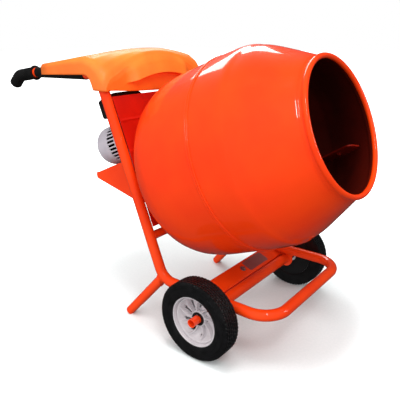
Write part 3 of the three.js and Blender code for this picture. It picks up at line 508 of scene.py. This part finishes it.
def saddle(start, direction, radius, post, post_direction, post_radius, steps=44):
    """The line where a tube meets a post: a closed loop of points in metres, for its weld."""
    across = direction.orthogonal().normalized()
    other = direction.cross(across)
    loop = []
    for i in range(steps):
        angle = TURN * i / steps
        edge = start + (across * math.cos(angle) + other * math.sin(angle)) * radius * MM
        gap = edge - post
        flat_gap = gap - post_direction * gap.dot(post_direction)
        flat_way = direction - post_direction * direction.dot(post_direction)
        a, b = flat_way.dot(flat_way), 2 * flat_way.dot(flat_gap)
        c = flat_gap.dot(flat_gap) - (post_radius * MM) ** 2
        root = math.sqrt(max(b * b - 4 * a * c, 0))
        loop.append(edge + direction * ((-b - root) / (2 * a)))
    return loop


def foot_ends(side):
    tip, heel = ground(-338, side * 254, 6), ground(column_x(170), side * SIDE_Y, 170)
    return tip, heel


def column_at(z, side):
    return ground(column_x(z), side * SIDE_Y, z)


def build_frame_tubes():
    for name, side in SIDES:
        piece(f"{name}_bent_side_tube", swept(side_line(side * SIDE_Y), TUBE_R), FRAME_ENAMEL, "frame",
              [f"{name}_side_tube"], "orange_paint")
        tip, heel = foot_ends(side)
        points, faces = swept([tip, tip.lerp(heel, 0.5), heel], FOOT_R)
        for point in points:
            point.z = max(point.z, 0)
        piece(f"{name}_foot_bar", (points, faces), FRAME_ENAMEL, "frame", [f"{name}_foot"], "orange_paint")
    piece("front_hoop_tube", swept(hoop_line(), TUBE_R), FRAME_ENAMEL, "frame", ["front_hoop"],
          "orange_paint")
    for name, z, radius in (("upper", 720, 12), ("lower", 300, 14)):
        line = [ground(column_x(z), y, z) for y in (-SIDE_Y + 8, 0, SIDE_Y - 8)]
        piece(f"{name}_cross_bar", swept(line, radius), FRAME_ENAMEL, "frame", [f"{name}_cross_tube"],
              "orange_paint")
    piece("frame_welds", merged(frame_welds()), FRAME_ENAMEL, "frame", slot="orange_paint")


def frame_welds():
    for name, side in SIDES:
        post = column_at(300, side)
        for z, radius in ((720, 12), (300, 14)):
            start = ground(column_x(z), side * (SIDE_Y - 60), z)
            way = Vector((0, side, 0))
            yield ringed(saddle(start, way, radius, post, UP_COLUMN, TUBE_R), 2.6)
        tip, heel = foot_ends(side)
        way = (heel - tip).normalized()
        yield ringed(saddle(tip, way, FOOT_R, column_at(170, side), UP_COLUMN, TUBE_R), 2.8)


# ---------------------------------------------------------------- axle, brackets and cross plate
def build_axle():
    end, hole_low, hole_high = 332, 322.3, 326.7
    rings = [(-end, 12.4), (-end + 0.6, AXLE_R), (-hole_high, AXLE_R), (-hole_low, AXLE_R)]
    rings += [(-along, radius) for along, radius in rings[::-1]]
    hole_rows, hole_sides = (2, 4), (9, 10, 29, 30)
    tube = open_rings(rings, 40, on_wheel(1), lambda row, k: row in hole_rows and k in hole_sides)
    piece("axle_tube", tube, FRAME_ENAMEL, "frame", ["axle"], "orange_paint", wall=3.4)
    sleeve = [(-226, 14), (-226, 17), (-225, 18), (225, 18), (226, 17), (226, 14)]
    piece("axle_sleeve_tube", turned(sleeve, 40, on_wheel(1)), FRAME_ENAMEL, "frame", ["axle_sleeve"],
          "orange_paint")
    for name, side in SIDES:
        low, high = sorted((side * 226.5, side * 231.5))
        outline = [(38, 156), (33, 146)] + arc((0, WHEEL_R), 30, 20, -200, 24) + [(-33, 146), (-38, 156)]
        form = plate(outline, low, high, lambda a, b, depth: ground(a, depth, b))
        piece(f"{name}_bracket_plate", form, FRAME_ENAMEL, "frame", [f"{name}_wheel_bracket"],
              "orange_paint", bevel=0.8)


PLATE_REAR = (-72, 165)
PLATE_FRONT = (-15, 143)
BOLT_Y = 6
PATCH_Y = (26, 142)
PLATE_SLOPE = math.atan2(PLATE_REAR[1] - PLATE_FRONT[1], PLATE_FRONT[0] - PLATE_REAR[0])


def on_plate(x, y, lift):
    """Over the cross plate's middle: forwards down the slope, sideways, and square to the sheet."""
    middle = [(PLATE_REAR[i] + PLATE_FRONT[i]) / 2 for i in (0, 1)]
    return ground(middle[0] + x * math.cos(PLATE_SLOPE) + lift * math.sin(PLATE_SLOPE), y,
                  middle[1] - x * math.sin(PLATE_SLOPE) + lift * math.cos(PLATE_SLOPE))


def build_cross_plate():
    (rear_x, rear_z), (front_x, front_z) = PLATE_REAR, PLATE_FRONT
    outer = [(rear_x - 7, rear_z - 26), (rear_x - 2.5, rear_z - 4), (rear_x + 3, rear_z),
             (front_x - 4, front_z + 2.5), (front_x, front_z - 2), (front_x - 5, front_z - 15)]
    inner = [(front_x - 8, front_z - 14.5), (front_x - 3.4, front_z - 2.4), (front_x - 6, front_z - 0.2),
             (rear_x + 3.4, rear_z - 3.6), (rear_x + 0.2, rear_z - 6), (rear_x - 4, rear_z - 26.5)]
    low, high = -226, 226
    form = plate(outer + inner, low, high, lambda a, b, depth: ground(a, depth, b))
    piece("folded_cross_plate", form, FRAME_ENAMEL, "frame", ["cross_plate"], "orange_paint", bevel=0.9)
    up = (on_plate(0, 0, 1) - on_plate(0, 0, 0)).normalized()
    head = bolt_head(on_plate(0, BOLT_Y, 0), up, 7.5)
    piece("cross_plate_bolt", head, ZINC_STEEL, "frame", ["plate_bolt"], "bare_steel", bevel=0.5)
    # A thin pink-brown patch laid on the cross plate.
    patch = plate(rounded_rectangle((-22, PATCH_Y[0]), (22, PATCH_Y[1]), 8), 0.2, 1.3, on_plate)
    piece("pink_brown_patch", patch, PINK_BROWN_FILM, "frame", ["data_plate"], "label_foil", bevel=0.3)


# ---------------------------------------------------------------- wheels
TREAD_BLOCKS = 64
TREAD_STEP = 6
TREAD_RIBS = (273, 281.8, 290.6, 299.4, 308.2, 317)


def tyre_outline():
    """Half round the tyre: inner bead, inner wall, ribbed tread, outer wall with a raised ring."""
    inner_wall = [(269, 79.6), (266.8, 84), (266, 92), (266, 108), (266.4, 116), (268.3, 121.6)]
    tread = []
    for centre in TREAD_RIBS:
        height = WHEEL_R - 0.0011 * (centre - 296) ** 2
        tread += [(centre - 3.4, height - 3), (centre - 3.1, height - 0.4), (centre - 2.5, height),
                  (centre + 2.5, height), (centre + 3.1, height - 0.4), (centre + 3.4, height - 3)]
    outer_wall = [(321.6, 123.4), (324.4, 121), (326.4, 116.6), (327.2, 111), (326.6, 110.3), (327.4, 109.6),
                  (328, 104), (328, 95), (327.3, 94.3), (328, 93.6), (327.8, 87), (326.4, 82.6), (324.5, 79.6)]
    return inner_wall + tread + outer_wall


def tread_cut(along, radius, angle):
    """Narrow cross cuts between the tread blocks, staggered from one rib to the next."""
    if radius < 118.5:
        return along, radius
    rib = round((along - TREAD_RIBS[0]) / 8.8)
    share = (angle * TREAD_BLOCKS / TURN + 0.4 * rib) % 1
    return along, radius - (1.5 if share < 0.17 else 0)


RIM_VANES = 9
SIDES_PER_VANE = 12
VANE_SWEEP = math.radians(24)


def rim_vane(index, place):
    """A thin curved vane that stands on the wheel's web, from the hub out to the barrel."""
    steps = 8
    points = []
    for k in range(steps + 1):
        t = k / steps
        radius = 23 + 50.5 * t
        angle = TURN * index / RIM_VANES + vane_sweep(radius)
        top = 299 + 11 * t ** 1.5
        for along, thickness in ((280, 2.2), (top - 0.6, 1.3), (top, 0.9)):
            for way in (1, -1):
                turn = angle + way * thickness / radius
                points.append(place(along, radius * math.cos(turn), radius * math.sin(turn)))
    ring = [0, 2, 4, 5, 3, 1]
    faces = [[k * 6 + a, k * 6 + b, k * 6 + 6 + b, k * 6 + 6 + a]
             for k in range(steps) for a, b in zip(ring, ring[1:] + ring[:1])]
    return points, faces + [ring, [steps * 6 + i for i in ring[::-1]]]


def vane_sweep(radius):
    """How far a vane has turned at a radius, in radians."""
    return VANE_SWEEP * max(0, (radius - 23) / 50.5) ** 2


def slotted_web(place):
    """The dished web between the vanes, with a long slot beside each of them."""
    rings = [(283, 24), (283.2, 33), (284, 44), (286, 53), (289, 59), (296, 66), (304, 70), (311, 72.6)]
    slot_rows, slot_sides = (1, 2, 3), (1, 2, 3)

    def twisted(along, a, b):
        turn = vane_sweep(math.hypot(a, b))
        return place(along, a * math.cos(turn) - b * math.sin(turn), a * math.sin(turn) + b * math.cos(turn))

    def in_slot(row, k):
        return row in slot_rows and k % SIDES_PER_VANE in slot_sides

    return open_rings(rings, RIM_VANES * SIDES_PER_VANE, twisted, in_slot)


def build_wheels():
    barrel = [(271, 74), (271, 79.2), (318, 79.6), (320.6, 79.4), (321.8, 78.6), (322, 77.4), (321.6, 75.6),
              (320, 74.6), (316, 73.8), (309, 72.6), (303, 72.2), (290, 71.8)]
    hub = [(268, 17.4), (268, 24), (269, 25), (295.4, 25), (296.6, 24.4), (297, 23), (297, 17.4)]
    for name, side in SIDES:
        place = on_wheel(side)
        body = f"{name}_wheel"
        tyre = turned(tyre_outline(), TREAD_BLOCKS * TREAD_STEP, place, tread_cut)
        piece(f"{name}_solid_tyre", tyre, TYRE_RUBBER, body, [f"{name}_tyre"], "tyre_rubber", sharp=25)
        vanes = [rim_vane(i, place) for i in range(RIM_VANES)]
        rounds = [turned(outline, 96, place) for outline in (barrel, hub)]
        piece(f"{name}_turbine_rim", merged(rounds + vanes), RIM_PLASTIC, body, [f"{name}_rim"], "rim_plastic",
              sharp=30)
        piece(f"{name}_rim_web", slotted_web(place), RIM_PLASTIC, body, slot="rim_plastic", wall=3.5)
        # Painted shade: a black disc behind the web, so that the slots and the barrel's inner edge show dark.
        cap = [(267.6, 25), (267.6, 78), (268.4, 79), (270.4, 79), (270.4, 25)]
        piece(f"{name}_inner_painted_shade_cap", turned(cap, 64, place), BLACK_PLASTIC, body, slot="black_plastic")
        bush = [(268, 13.6), (268, 17), (296.4, 17), (297, 16.4), (297, 13.6)]
        piece(f"{name}_bush", turned(bush, 40, place), BLACK_PLASTIC, body, [f"{name}_wheel_bush"],
              "black_plastic")
        washer = [(297.7, 13.2), (297.7, 20.6), (298.1, 21), (300.2, 21), (300.6, 20.6), (300.6, 13.2)]
        piece(f"{name}_washer", turned(washer, 40, place), BLACK_PLASTIC, "frame", [f"{name}_axle_washer"],
              "black_plastic")
        pin = swept([place(303.4, 0, z) for z in (-17, -16.5, 16.5, 17)], 2, 14)
        piece(f"{name}_split_pin", pin, ZINC_STEEL, "frame", [f"{name}_axle_pin"], "bare_steel")


# ---------------------------------------------------------------- grips
def grip_radius(share):
    """From the capped end to the collar: a rounded end, finger ridges and a flange at the front."""
    length = 152
    at = share * length
    if at < 7:
        return 22 - 6 * (1 - math.sqrt(max(0, 1 - (1 - at / 7) ** 2)))
    if at > length - 7:
        return 26 - 2 * abs(at - (length - 3.5)) / 3.5
    return 21.2 + 0.7 * math.cos(at * TURN / 6.2)


def build_grips():
    for name, side in SIDES:
        end, droop, kink = (ground(x, side * SIDE_Y, z) for x, z in (HANDLE_END, DROOP, KINK))
        front = droop.lerp(kink, 105 / 117)
        cap = end + (end - droop).normalized() * 8.8 * MM
        line = bent_line([cap, droop, front], [40], 10)
        fine = []
        for a, b in zip(line, line[1:]):
            steps = max(1, round((b - a).length / (0.9 * MM)))
            fine += [a.lerp(b, k / steps) for k in range(steps)]
        # Painted shade: a black rubber sleeve on the tube under each arm of the hood stands in for the shadow
        # there.
        sleeve = swept([kink, kink.lerp(ground(-500, side * SIDE_Y, 803), 0.96)], TUBE_R + 0.7)
        piece(f"{name}_arm_painted_shade_sleeve", sleeve, GRIP_RUBBER, "frame", slot="grip_rubber")
        piece(f"{name}_ribbed_grip", swept(fine + [front], grip_radius, 32), GRIP_RUBBER, "frame",
              [f"{name}_grip"], "grip_rubber", sharp=60)


# ---------------------------------------------------------------- drum
BOWL = [(30, 196), (36, 222), (54, 256), (84, 284), (122, 300), (156, 305.6), (190, 308), (240, 308),
        (318, 308)]
CONE = [(341, 308), (390, 306.6), (434, 302.8), (455, 294.5), (475, 286.1), (497, 274.2), (530, 254.4),
        (565, 233), (603, 209), (613, 200.5), (620, 197.8), (623, 197.4)]
SKIN = 2.5



def ridge(centre, height, base):
    """A half-round rolled ridge on the drum's skin."""
    return [(centre + 3.4 * math.cos(a), base + height * math.sin(a))
            for a in (math.pi * (1 - i / 8) for i in range(9))]


def build_drum():
    bowl = smooth_line(BOWL, 6)
    outline = [(30, 20.5), (30, 120)] + bowl + ridge(326, 3.4, 307.6)
    inner = [(a, r - SKIN) for a, r in bowl[1:]][::-1] + [(34, 194), (32.5, 120), (32.5, 20.5)]
    count = len(outline) + len(inner)
    # The inner faces take the dark brown-red that paints the shade inside the drum.
    piece("drum_bowl_skin", turned(outline + inner, 144, shaft), [DRUM_ENAMEL, DRUM_INSIDE_PAINTED_SHADE], "drum",
          ["drum_bowl"], "orange_paint", inside=lambda i: len(outline) <= i % count < count - 1, sharp=50)
    flare = smooth_line(CONE, 6)
    cone = ridge(332.4, 3.4, 307.6) + flare
    cone_inner = [(a, r - SKIN) for a, r in flare][::-1] + [(329, 305.5)]
    cone_count = len(cone) + len(cone_inner)
    piece("drum_cone_skin", turned(cone + cone_inner, 144, shaft), [DRUM_ENAMEL, DRUM_INSIDE_PAINTED_SHADE], "drum",
          ["drum_cone"], "orange_paint", inside=lambda i: len(cone) <= i % cone_count < cone_count - 1,
          sharp=50)
    bead = arc((628.7, 197), 8, 0, 345, 23)
    piece("rolled_mouth_bead", turned(bead, 144, shaft), DRUM_ENAMEL, "drum", ["mouth_bead"], "orange_paint")
    build_paddles()
    flange = [(-47, 0), (-47, 11.5), (-46, 12.5), (24.5, 12.5), (24.5, 61), (25.5, 62), (29.7, 62), (29.7, 18),
              (43, 18), (44, 17), (44, 0)]
    piece("drum_stub_shaft", turned(flange, 48, shaft), TURNED_STEEL, "drum", ["drum_shaft"], "bare_steel")
    clamp = [(32.8, 18.3), (32.8, 61), (33.6, 62), (37, 62), (37.8, 61), (37.8, 18.3)]
    heads = [bolt_head(shaft(37.8, 44 * math.cos(a), 44 * math.sin(a)), SHAFT, 8)
             for a in (TURN * i / 6 for i in range(6))]
    piece("hub_clamp_plate", merged([turned(clamp, 64, shaft), *heads]), ZINC_STEEL, "drum", ["hub_plate"],
          "bare_steel", bevel=0.5)


BLADE = [(150, 295), (190, 298), (330, 300), (434, 296), (475, 280), (562, 228), (570, 222), (572, 215),
         (563, 194), (558, 186), (550, 182), (543, 184), (500, 205), (437, 238), (410, 242), (220, 236),
         (160, 250)]
PADDLES = (("a", -21), ("b", 159))


def build_paddles():
    for name, degrees in PADDLES:
        turn = math.radians(degrees)
        out = Vector((0, math.cos(turn), 0)) + UP_COLUMN * math.sin(turn)
        across = UP_COLUMN * math.cos(turn) - Vector((0, math.sin(turn), 0))

        def place(along, radius, depth):
            return SHAFT_ROOT + (SHAFT * along + out * radius + across * depth) * MM

        blade = plate(BLADE, -2.5, 2.5, place)
        foot = plate([(190, 289), (300, 289), (300, 294), (190, 294)], -2, 28, place)
        bolts = [bolt_head(place(along, 289, 16), -out, 7) for along in (210, 280)]
        bolts += [bolt_head(place(495, 232, 2.5 * way), across * way, 7) for way in (1, -1)]
        piece(f"mixing_paddle_{name}", merged([blade, foot, *bolts]), PADDLE_ENAMEL_PAINTED_SHADE, "drum",
              [f"paddle_{name}"], "red_paint", bevel=0.7)


# ---------------------------------------------------------------- drive panel, guard and gearcase
def build_panel():
    """The pressed sheet behind the drum, with two cross folds that set its middle back."""
    front = [(19.9, 297), (19.9, 226), (21, 221), (23.4, 217), (22, 213), (20.6, 208), (20.6, 124), (22, 120),
             (22.9, 116), (22, 111), (20.4, 106), (19.9, -136)]
    back = [(17.4, -136), (17.6, 104), (18.6, 112), (18.6, 214), (17.4, 220), (17.4, 297)]
    form = plate(front + back, -221, 221, lambda a, b, depth: shaft(a, depth, b))
    # The sheet takes the darkened red that paints its shade.
    piece("pressed_drive_panel", form, PANEL_ENAMEL_PAINTED_SHADE, "frame", ["drive_panel"], "red_paint", bevel=0.6)


def guard_cheek(side):
    low, high = sorted((side * 209.4, side * 211.4))
    outline = [(-18, 94), (-100, 92), *arc((-180, 78), 10, 100, 190, 6), (-186, 66), (-100, 6), (-18, -52)]
    return plate(outline, low, high, lambda a, b, depth: shaft(a, depth, b))


def build_guard():
    floor = [(-193, 71), (-53, -27.6), (-53, -24.6), (-188, 70.6), (-185.5, 87), (-188, 87)]
    sheet = plate(floor, -210.9, 210.9, lambda a, b, depth: shaft(a, depth, b))
    rolled = swept([shaft(-187, y, 87) for y in (-209, 0, 209)], 2.6, 16)
    piece("motor_guard_sheet", merged([guard_cheek(1), guard_cheek(-1), sheet, rolled]), FRAME_ENAMEL, "frame",
          ["motor_guard"], "red_paint", bevel=0.6)


# ---------------------------------------------------------------- motor
def build_motor():
    body = [(-52.3, 24.5), (-52.3, 68.6), (-53.4, 70), (-59, 70), (-60.2, 68.6), (-61, 58), (-64, 56.5),
            (-141, 56.5), (-144.6, 55), (-145.8, 52), (-145.8, 24.5)]
    fin = [(-62, 54), (-62, 60), (-66, 61.8), (-138, 61.8), (-141, 60), (-141, 54)]
    fins = []
    for i in range(30):
        angle = TURN * i / 30
        out = Vector((0, math.cos(angle), 0)) + UP_COLUMN * math.sin(angle)
        across = UP_COLUMN * math.cos(angle) - Vector((0, math.sin(angle), 0))
        fins.append(plate(fin, -1.1, 1.1, lambda a, b, d: MOTOR_ROOT + (SHAFT * a + out * b + across * d) * MM))
    # The finned body takes the near-black that paints the shade inside the cowl.
    piece("finned_motor_body", merged([turned(body, 72, motor), *fins]), MOTOR_BODY_PAINTED_SHADE, "frame",
          ["motor_body"], "cast_aluminium", bevel=0.4)
    build_cowl()
    case = plate(rounded_rectangle((-138, -97), (-90, -37), 5), 237, 257.5, shaft)
    lid = plate(rounded_rectangle((-136.6, -95.6), (-91.4, -38.4), 4), 257.5, 261, shaft)
    saddle = plate(rounded_rectangle((-132, -93), (-96, -69), 3), 231, 238, shaft)
    screws = [bolt_head(shaft(x, y, 260.6), UP_COLUMN, 2.2, 20) for x in (-131, -97) for y in (-90, -44)]
    piece("motor_terminal_cover", merged([case, lid, saddle, *screws]), BLACK_PLASTIC, "frame",
          ["terminal_box"], "black_plastic", bevel=1)


def build_cowl():
    """A domed thin shell over the fan, with thirty-two long air slots round its front."""
    end = -207.8
    rings = [(along, 69) for along in (-84, -93, -94, -105, -117, -131, -132, -150, -168)]
    bends = [math.radians(9 * i) for i in range(1, 10)]
    rings += [(-172 - 36 * math.sin(a), 39 + 30 * math.cos(a)) for a in bends]
    rings += [(end, 38), (end, 30), (end, 22), (end, 14)]
    slot_rows = range(2, 5)
    sides, pitch = 160, 5
    slot_sides = (0, 1, 2)
    shell = open_rings(rings, sides, motor, lambda row, k: row in slot_rows and k % pitch in slot_sides)
    piece("slotted_fan_cowl", shell, COWL_PLASTIC, "frame", ["fan_cowl"], "cowl_plastic", wall=2.2)


# ---------------------------------------------------------------- switch
def build_switch():
    def place(a, b, d):
        return shaft(d, a, b)

    outline = [*arc((-56, 254), 8, -90, 0, 5), (-48, 306), (-58, 316), (-75, 319), (-170, 319), (-186, 316),
               *arc((-199, 300), 8, 90, 180, 5), *arc((-199, 254), 8, 180, 270, 5)]
    wells = [disc(9.6, 40, y, 274) for y in (-187, -157)]
    front = plate(outline, -70, -55.9, place, wells)
    rear = plate(outline, -56, -22, place)
    bezel = plate(rounded_rectangle((-203, 256), (-141, 292), 6), -72, -69.6, place, wells)
    piece("switch_housing", merged([front, rear, bezel]), BLACK_PLASTIC, "frame", ["switch_box"],
          "black_plastic", bevel=0.8)
    corners = [(-200, 304), (-55, 304), (-55, 252), (-112, 252)]
    screws = [bolt_head(shaft(-70, y, h), -SHAFT, 2.4, 20) for y, h in corners]
    piece("switch_screws", merged(screws), ZINC_STEEL, "frame", slot="bare_steel")
    buttons = (("start", -187, GREEN_BUTTON, "green_plastic"), ("stop", -157, RED_BUTTON, "red_plastic"))
    for name, y, finish, slot in buttons:
        dome = [(-63, 0), (-63, 9), (-73.6, 9), (-74.6, 8.3), (-75, 7), (-74.6, 4), (-74.4, 0)]
        form = turned(dome, 40, lambda a, b, c: shaft(a, b + y, c + 274))
        piece(f"{name}_push_button", form, finish, f"{name}_button", [f"{name}_button"], slot)


# ---------------------------------------------------------------- hood
# From front to rear: place along X, crown height, shoulder height, half width and shoulder radius.
HOOD_SECTIONS = [
    (-404, 862, 782, 244, 60), (-412, 873, 800, 249, 55), (-430, 879, 822, 252, 45), (-462, 881, 842, 253, 34),
    (-500, 879, 851, 253, 26), (-560, 868, 846, 253, 22), (-640, 850, 836, 253, 18), (-722, 832, 826, 253, 16),
]
ARM_INSIDE_Y = 204
HOOD_WALL = 3
ROOF_END_X = -590
# Where the side's lower edge is: straight across the leg, round the armpit and out along the arm.
SIDE_HEM = [(-404, 755), (-455, 756), (-462, 775), (-470, 790), (-480, 799), (-494, 803), (-722, 794)]
SHOULDER_COLUMNS = 18
CROWN_COLUMNS = 34
BROW = 24


def between(stops, x):
    """Values read off a table whose first column falls from row to row."""
    for front, rear in zip(stops, stops[1:]):
        if x >= rear[0]:
            share = (front[0] - x) / (front[0] - rear[0])
            return [a + (b - a) * share for a, b in zip(front[1:], rear[1:])]
    return list(stops[-1][1:])


def resampled(line, count):
    """A flat line through points, as count equal steps."""
    lengths = [0]
    for a, b in zip(line, line[1:]):
        lengths.append(lengths[-1] + math.dist(a, b))
    result, i = [], 0
    for k in range(count + 1):
        want = lengths[-1] * k / count
        while i < len(line) - 2 and lengths[i + 1] < want:
            i += 1
        share = (want - lengths[i]) / (lengths[i + 1] - lengths[i])
        result.append(tuple(a + (b - a) * share for a, b in zip(line[i], line[i + 1])))
    return result


def hood_half(x):
    """Half of a cross-section as (y, z): from the side's lower edge over the shoulder to the crown."""
    crown, shoulder, half, turn = between(HOOD_SECTIONS, x)
    hem = between(SIDE_HEM, x)[0]
    foot_z = shoulder - 0.55 * turn
    rounding = [(half - turn * (1 - math.cos(a)), foot_z + 0.9 * turn * math.sin(a))
                for a in (math.radians(75) * i / 16 for i in range(17))]
    last_y, last_z = rounding[-1]
    crest = [(y, last_z + (crown - last_z) * (1 - (y / last_y) ** 2))
             for y in (last_y * (1 - i / 60) for i in range(1, 61))]
    line = [(half, hem - 50), *rounding, *crest]
    start = next(i for i, point in enumerate(line) if point[1] > hem)
    share = (hem - line[start - 1][1]) / (line[start][1] - line[start - 1][1])
    first = tuple(a + (b - a) * share for a, b in zip(line[start - 1], line[start]))
    line = [first, *line[start:]]
    split = next(i for i, point in enumerate(line) if point[0] <= ARM_INSIDE_Y)
    share = (line[split - 1][0] - ARM_INSIDE_Y) / (line[split - 1][0] - line[split][0])
    edge = tuple(a + (b - a) * share for a, b in zip(line[split - 1], line[split]))
    outside = resampled([*line[:split], edge], SHOULDER_COLUMNS)
    inside = resampled([edge, *line[split:]] if edge != line[split] else line[split:], CROWN_COLUMNS)
    return outside + inside[1:]


def hood_face(y, top, share):
    """A column of the front face, from the crown's edge (share 0) to the skirt's lower edge (share 2).

    The brow over the drum leans out down to a crease at share 1, and the skirt hangs from behind it.
    """
    hem = 742 + 13 * min(abs(y) / 215, 1) ** 1.6
    crease = max(802 - 0.0012 * y * y, hem + 3)
    crease = min(crease, top - 0.25 * (top - hem))
    reach = max(0, min(1, (158 - abs(y)) / 42))
    reach = reach * reach * (3 - 2 * reach)
    base = 4 * (1 - (y / 250) ** 2) * min(1, 3 * share)
    if share <= 1:
        return top + (crease - top) * share, base + BROW * reach * share ** 0.85
    fall = share - 1
    z = crease + (hem - crease) * fall
    under = BROW * reach * max(0, 1 - fall / 0.07)
    folds = sum(height * math.exp(-((abs(y) - at) / 4.5) ** 2)
                for at, height in ((203, -3.5), (214, 2.2), (226, -3)))
    return z, base + under + folds * max(0, min(1, (share - 0.3) / 0.7))


def build_hood():
    """The moulded hood: a saddle over both legs and handles, with a skirt and a brow in front."""
    stations = [-404, -404.6, -406, -409, -412, -416, -421, -426, -430, -438, -447, -455, -458, -462, -466,
                -470, -475, -480, -487, -494, -500, -512, -525, -540, -560, -575, ROOF_END_X, -610, -640,
                -680, -722]
    rows = []
    for x in stations:
        half = hood_half(x)
        rows.append([(x, y, z) for y, z in half + [(-y, z) for y, z in half[-2::-1]]])
    width = len(rows[0])
    points = [ground(*p) for row in rows for p in row]
    faces = []
    for r, x in enumerate(stations[:-1]):
        for k in range(width - 1):
            over_arm = k < SHOULDER_COLUMNS or k >= width - 1 - SHOULDER_COLUMNS
            if over_arm or x > ROOF_END_X:
                a = r * width + k
                faces.append([a, a + 1, a + width + 1, a + width])
    shares = [i / 14 for i in range(1, 15)] + [1.03, 1.07] + [1.07 + 0.93 * i / 9 for i in range(1, 10)]
    above = list(range(width))
    for share in shares:
        start = len(points)
        for x, y, z in rows[0]:
            face_z, out = hood_face(y, z, share)
            points.append(ground(x + out, y, face_z))
        below = [start + k for k in range(width)]
        faces += [[above[k + 1], above[k], below[k], below[k + 1]] for k in range(width - 1)]
        above = below
    piece("moulded_hood", (points, faces), HOOD_PLASTIC, "frame", ["hood"], "hood_plastic", sharp=80,
          wall=HOOD_WALL)


# ---------------------------------------------------------------- floor, light and camera
def build_stage():
    """White paper under the mixer. It glows further out, so that it runs into the white around it."""
    mesh = bpy.data.meshes.new("floor")
    corners = [(-30, -30), (30, -30), (30, 30), (-30, 30)]
    mesh.from_pydata([(x, y, 0) for x, y in corners], [], [[0, 1, 2, 3]])
    made, tree, place = material("white_studio_paper")
    fibres = add(tree, "ShaderNodeTexNoise", {"Vector": place, "Scale": per_metre(8), "Detail": 4})
    away = add(tree, "ShaderNodeVectorMath", {0: place}, operation="LENGTH").outputs["Value"]
    glow = {"Value": away, "From Min": 0.6, "From Max": 1.5, "To Min": 0.0, "To Max": 1.0}
    finish_material(tree, {
        "Base Color": two_tone(tree, fibres.outputs["Fac"], "#f3f8f8", "#f8fcfc"),
        "Roughness": 0.9,
        "Specular IOR Level": 0.1,
        "Emission Color": (1, 1, 1, 1),
        "Emission Strength": add(tree, "ShaderNodeMapRange", glow).outputs["Result"],
    })
    mesh.materials.append(made)
    floor = bpy.data.objects.new("floor", mesh)
    floor.visible_diffuse = False
    floor.visible_glossy = False
    bpy.context.scene.collection.objects.link(floor)


def area_light(name, towards, distance, size, radiance, glossy=True):
    """A rectangular lamp that looks at the drum from a direction. Radiance is in W per m2 and sr."""
    light = bpy.data.lights.new(name, "AREA")
    light.shape = "RECTANGLE"
    light.size, light.size_y = size
    light.energy = radiance * math.pi * size[0] * size[1]
    lamp = bpy.data.objects.new(name, light)
    target = shaft(330, 0, 0)
    lamp.visible_glossy = glossy
    lamp.location = target + Vector(towards).normalized() * distance
    lamp.rotation_euler = (target - lamp.location).to_track_quat("-Z", "Y").to_euler()
    bpy.context.scene.collection.objects.link(lamp)


def build_light():
    """White behind the mixer, an open sky that is brightest from the mixer's right, and four lamps.

    The strip and the softbox leave the crisp highlights, the low lamp lights the mouth's far lip, and the
    overhead lamp darkens the floor's shadow without a highlight of its own.
    """
    world = bpy.data.worlds.new("white_studio")
    world.use_nodes = True
    tree = world.node_tree
    tree.nodes.clear()
    way = add(tree, "ShaderNodeTexCoord").outputs["Generated"]
    facing = add(tree, "ShaderNodeVectorMath", {0: way, 1: (0.05, -0.8, 0.6)}, operation="DOT_PRODUCT")
    strength = {
        "Value": facing.outputs["Value"], "From Min": -0.4, "From Max": 1.0, "To Min": 0.03, "To Max": 1.65,
    }
    sky_strength = add(tree, "ShaderNodeMapRange", strength).outputs["Result"]
    sky = add(tree, "ShaderNodeBackground", {"Color": (1, 1, 1, 1), "Strength": sky_strength})
    dim = add(tree, "ShaderNodeBackground", {"Color": (1, 1, 1, 1), "Strength": 0.07})
    white = add(tree, "ShaderNodeBackground", {"Color": (1, 1, 1, 1), "Strength": 1.0})
    rays = add(tree, "ShaderNodeLightPath").outputs
    lighting = {0: rays["Is Glossy Ray"], 1: sky.outputs[0], 2: dim.outputs[0]}
    lit = add(tree, "ShaderNodeMixShader", lighting).outputs[0]
    backdrop = {0: rays["Is Camera Ray"], 1: lit, 2: white.outputs[0]}
    seen = add(tree, "ShaderNodeMixShader", backdrop).outputs[0]
    add(tree, "ShaderNodeOutputWorld", {"Surface": seen})
    scene = bpy.context.scene
    scene.world = world
    scene.view_settings.view_transform = "Standard"
    area_light("front_strip", (0.5, -0.42, 0.76), 3.0, (0.28, 1.0), 20)
    area_light("rear_softbox", (-0.595, 0.517, 0.616), 2.5, (1.6, 0.75), 6)
    area_light("low_side_lamp", (0.87, 0.42, 0.3), 3.0, (0.5, 0.9), 7)
    area_light("overhead", (0.02, -0.1, 1), 3.0, (0.9, 0.9), 20, glossy=False)


def build_camera():
    azimuth, elevation, roll = math.radians(38.32), math.radians(18.604), math.radians(-0.33)
    back = Vector((math.sin(azimuth) * math.cos(elevation), -math.cos(azimuth) * math.cos(elevation),
                   math.sin(elevation)))
    right = Vector((math.cos(azimuth), math.sin(azimuth), 0))
    up = back.cross(right)
    turn = Matrix((right, up, back)).transposed() @ Matrix.Rotation(roll, 3, "Z")
    lens = bpy.data.cameras.new("camera")
    lens.sensor_width = 36
    lens.lens = 43.71
    camera = bpy.data.objects.new("camera", lens)
    camera.matrix_world = Matrix.Translation(ground(780.92, -1273.96, 916.44)) @ turn.to_4x4()
    bpy.context.scene.collection.objects.link(camera)
    bpy.context.scene.camera = camera


build_camera()
dress_cad_nodes()
build_frame_tubes()
build_axle()
build_cross_plate()
build_wheels()
build_grips()
build_drum()
build_panel()
build_guard()
build_motor()
build_switch()
build_hood()
build_stage()
build_light()
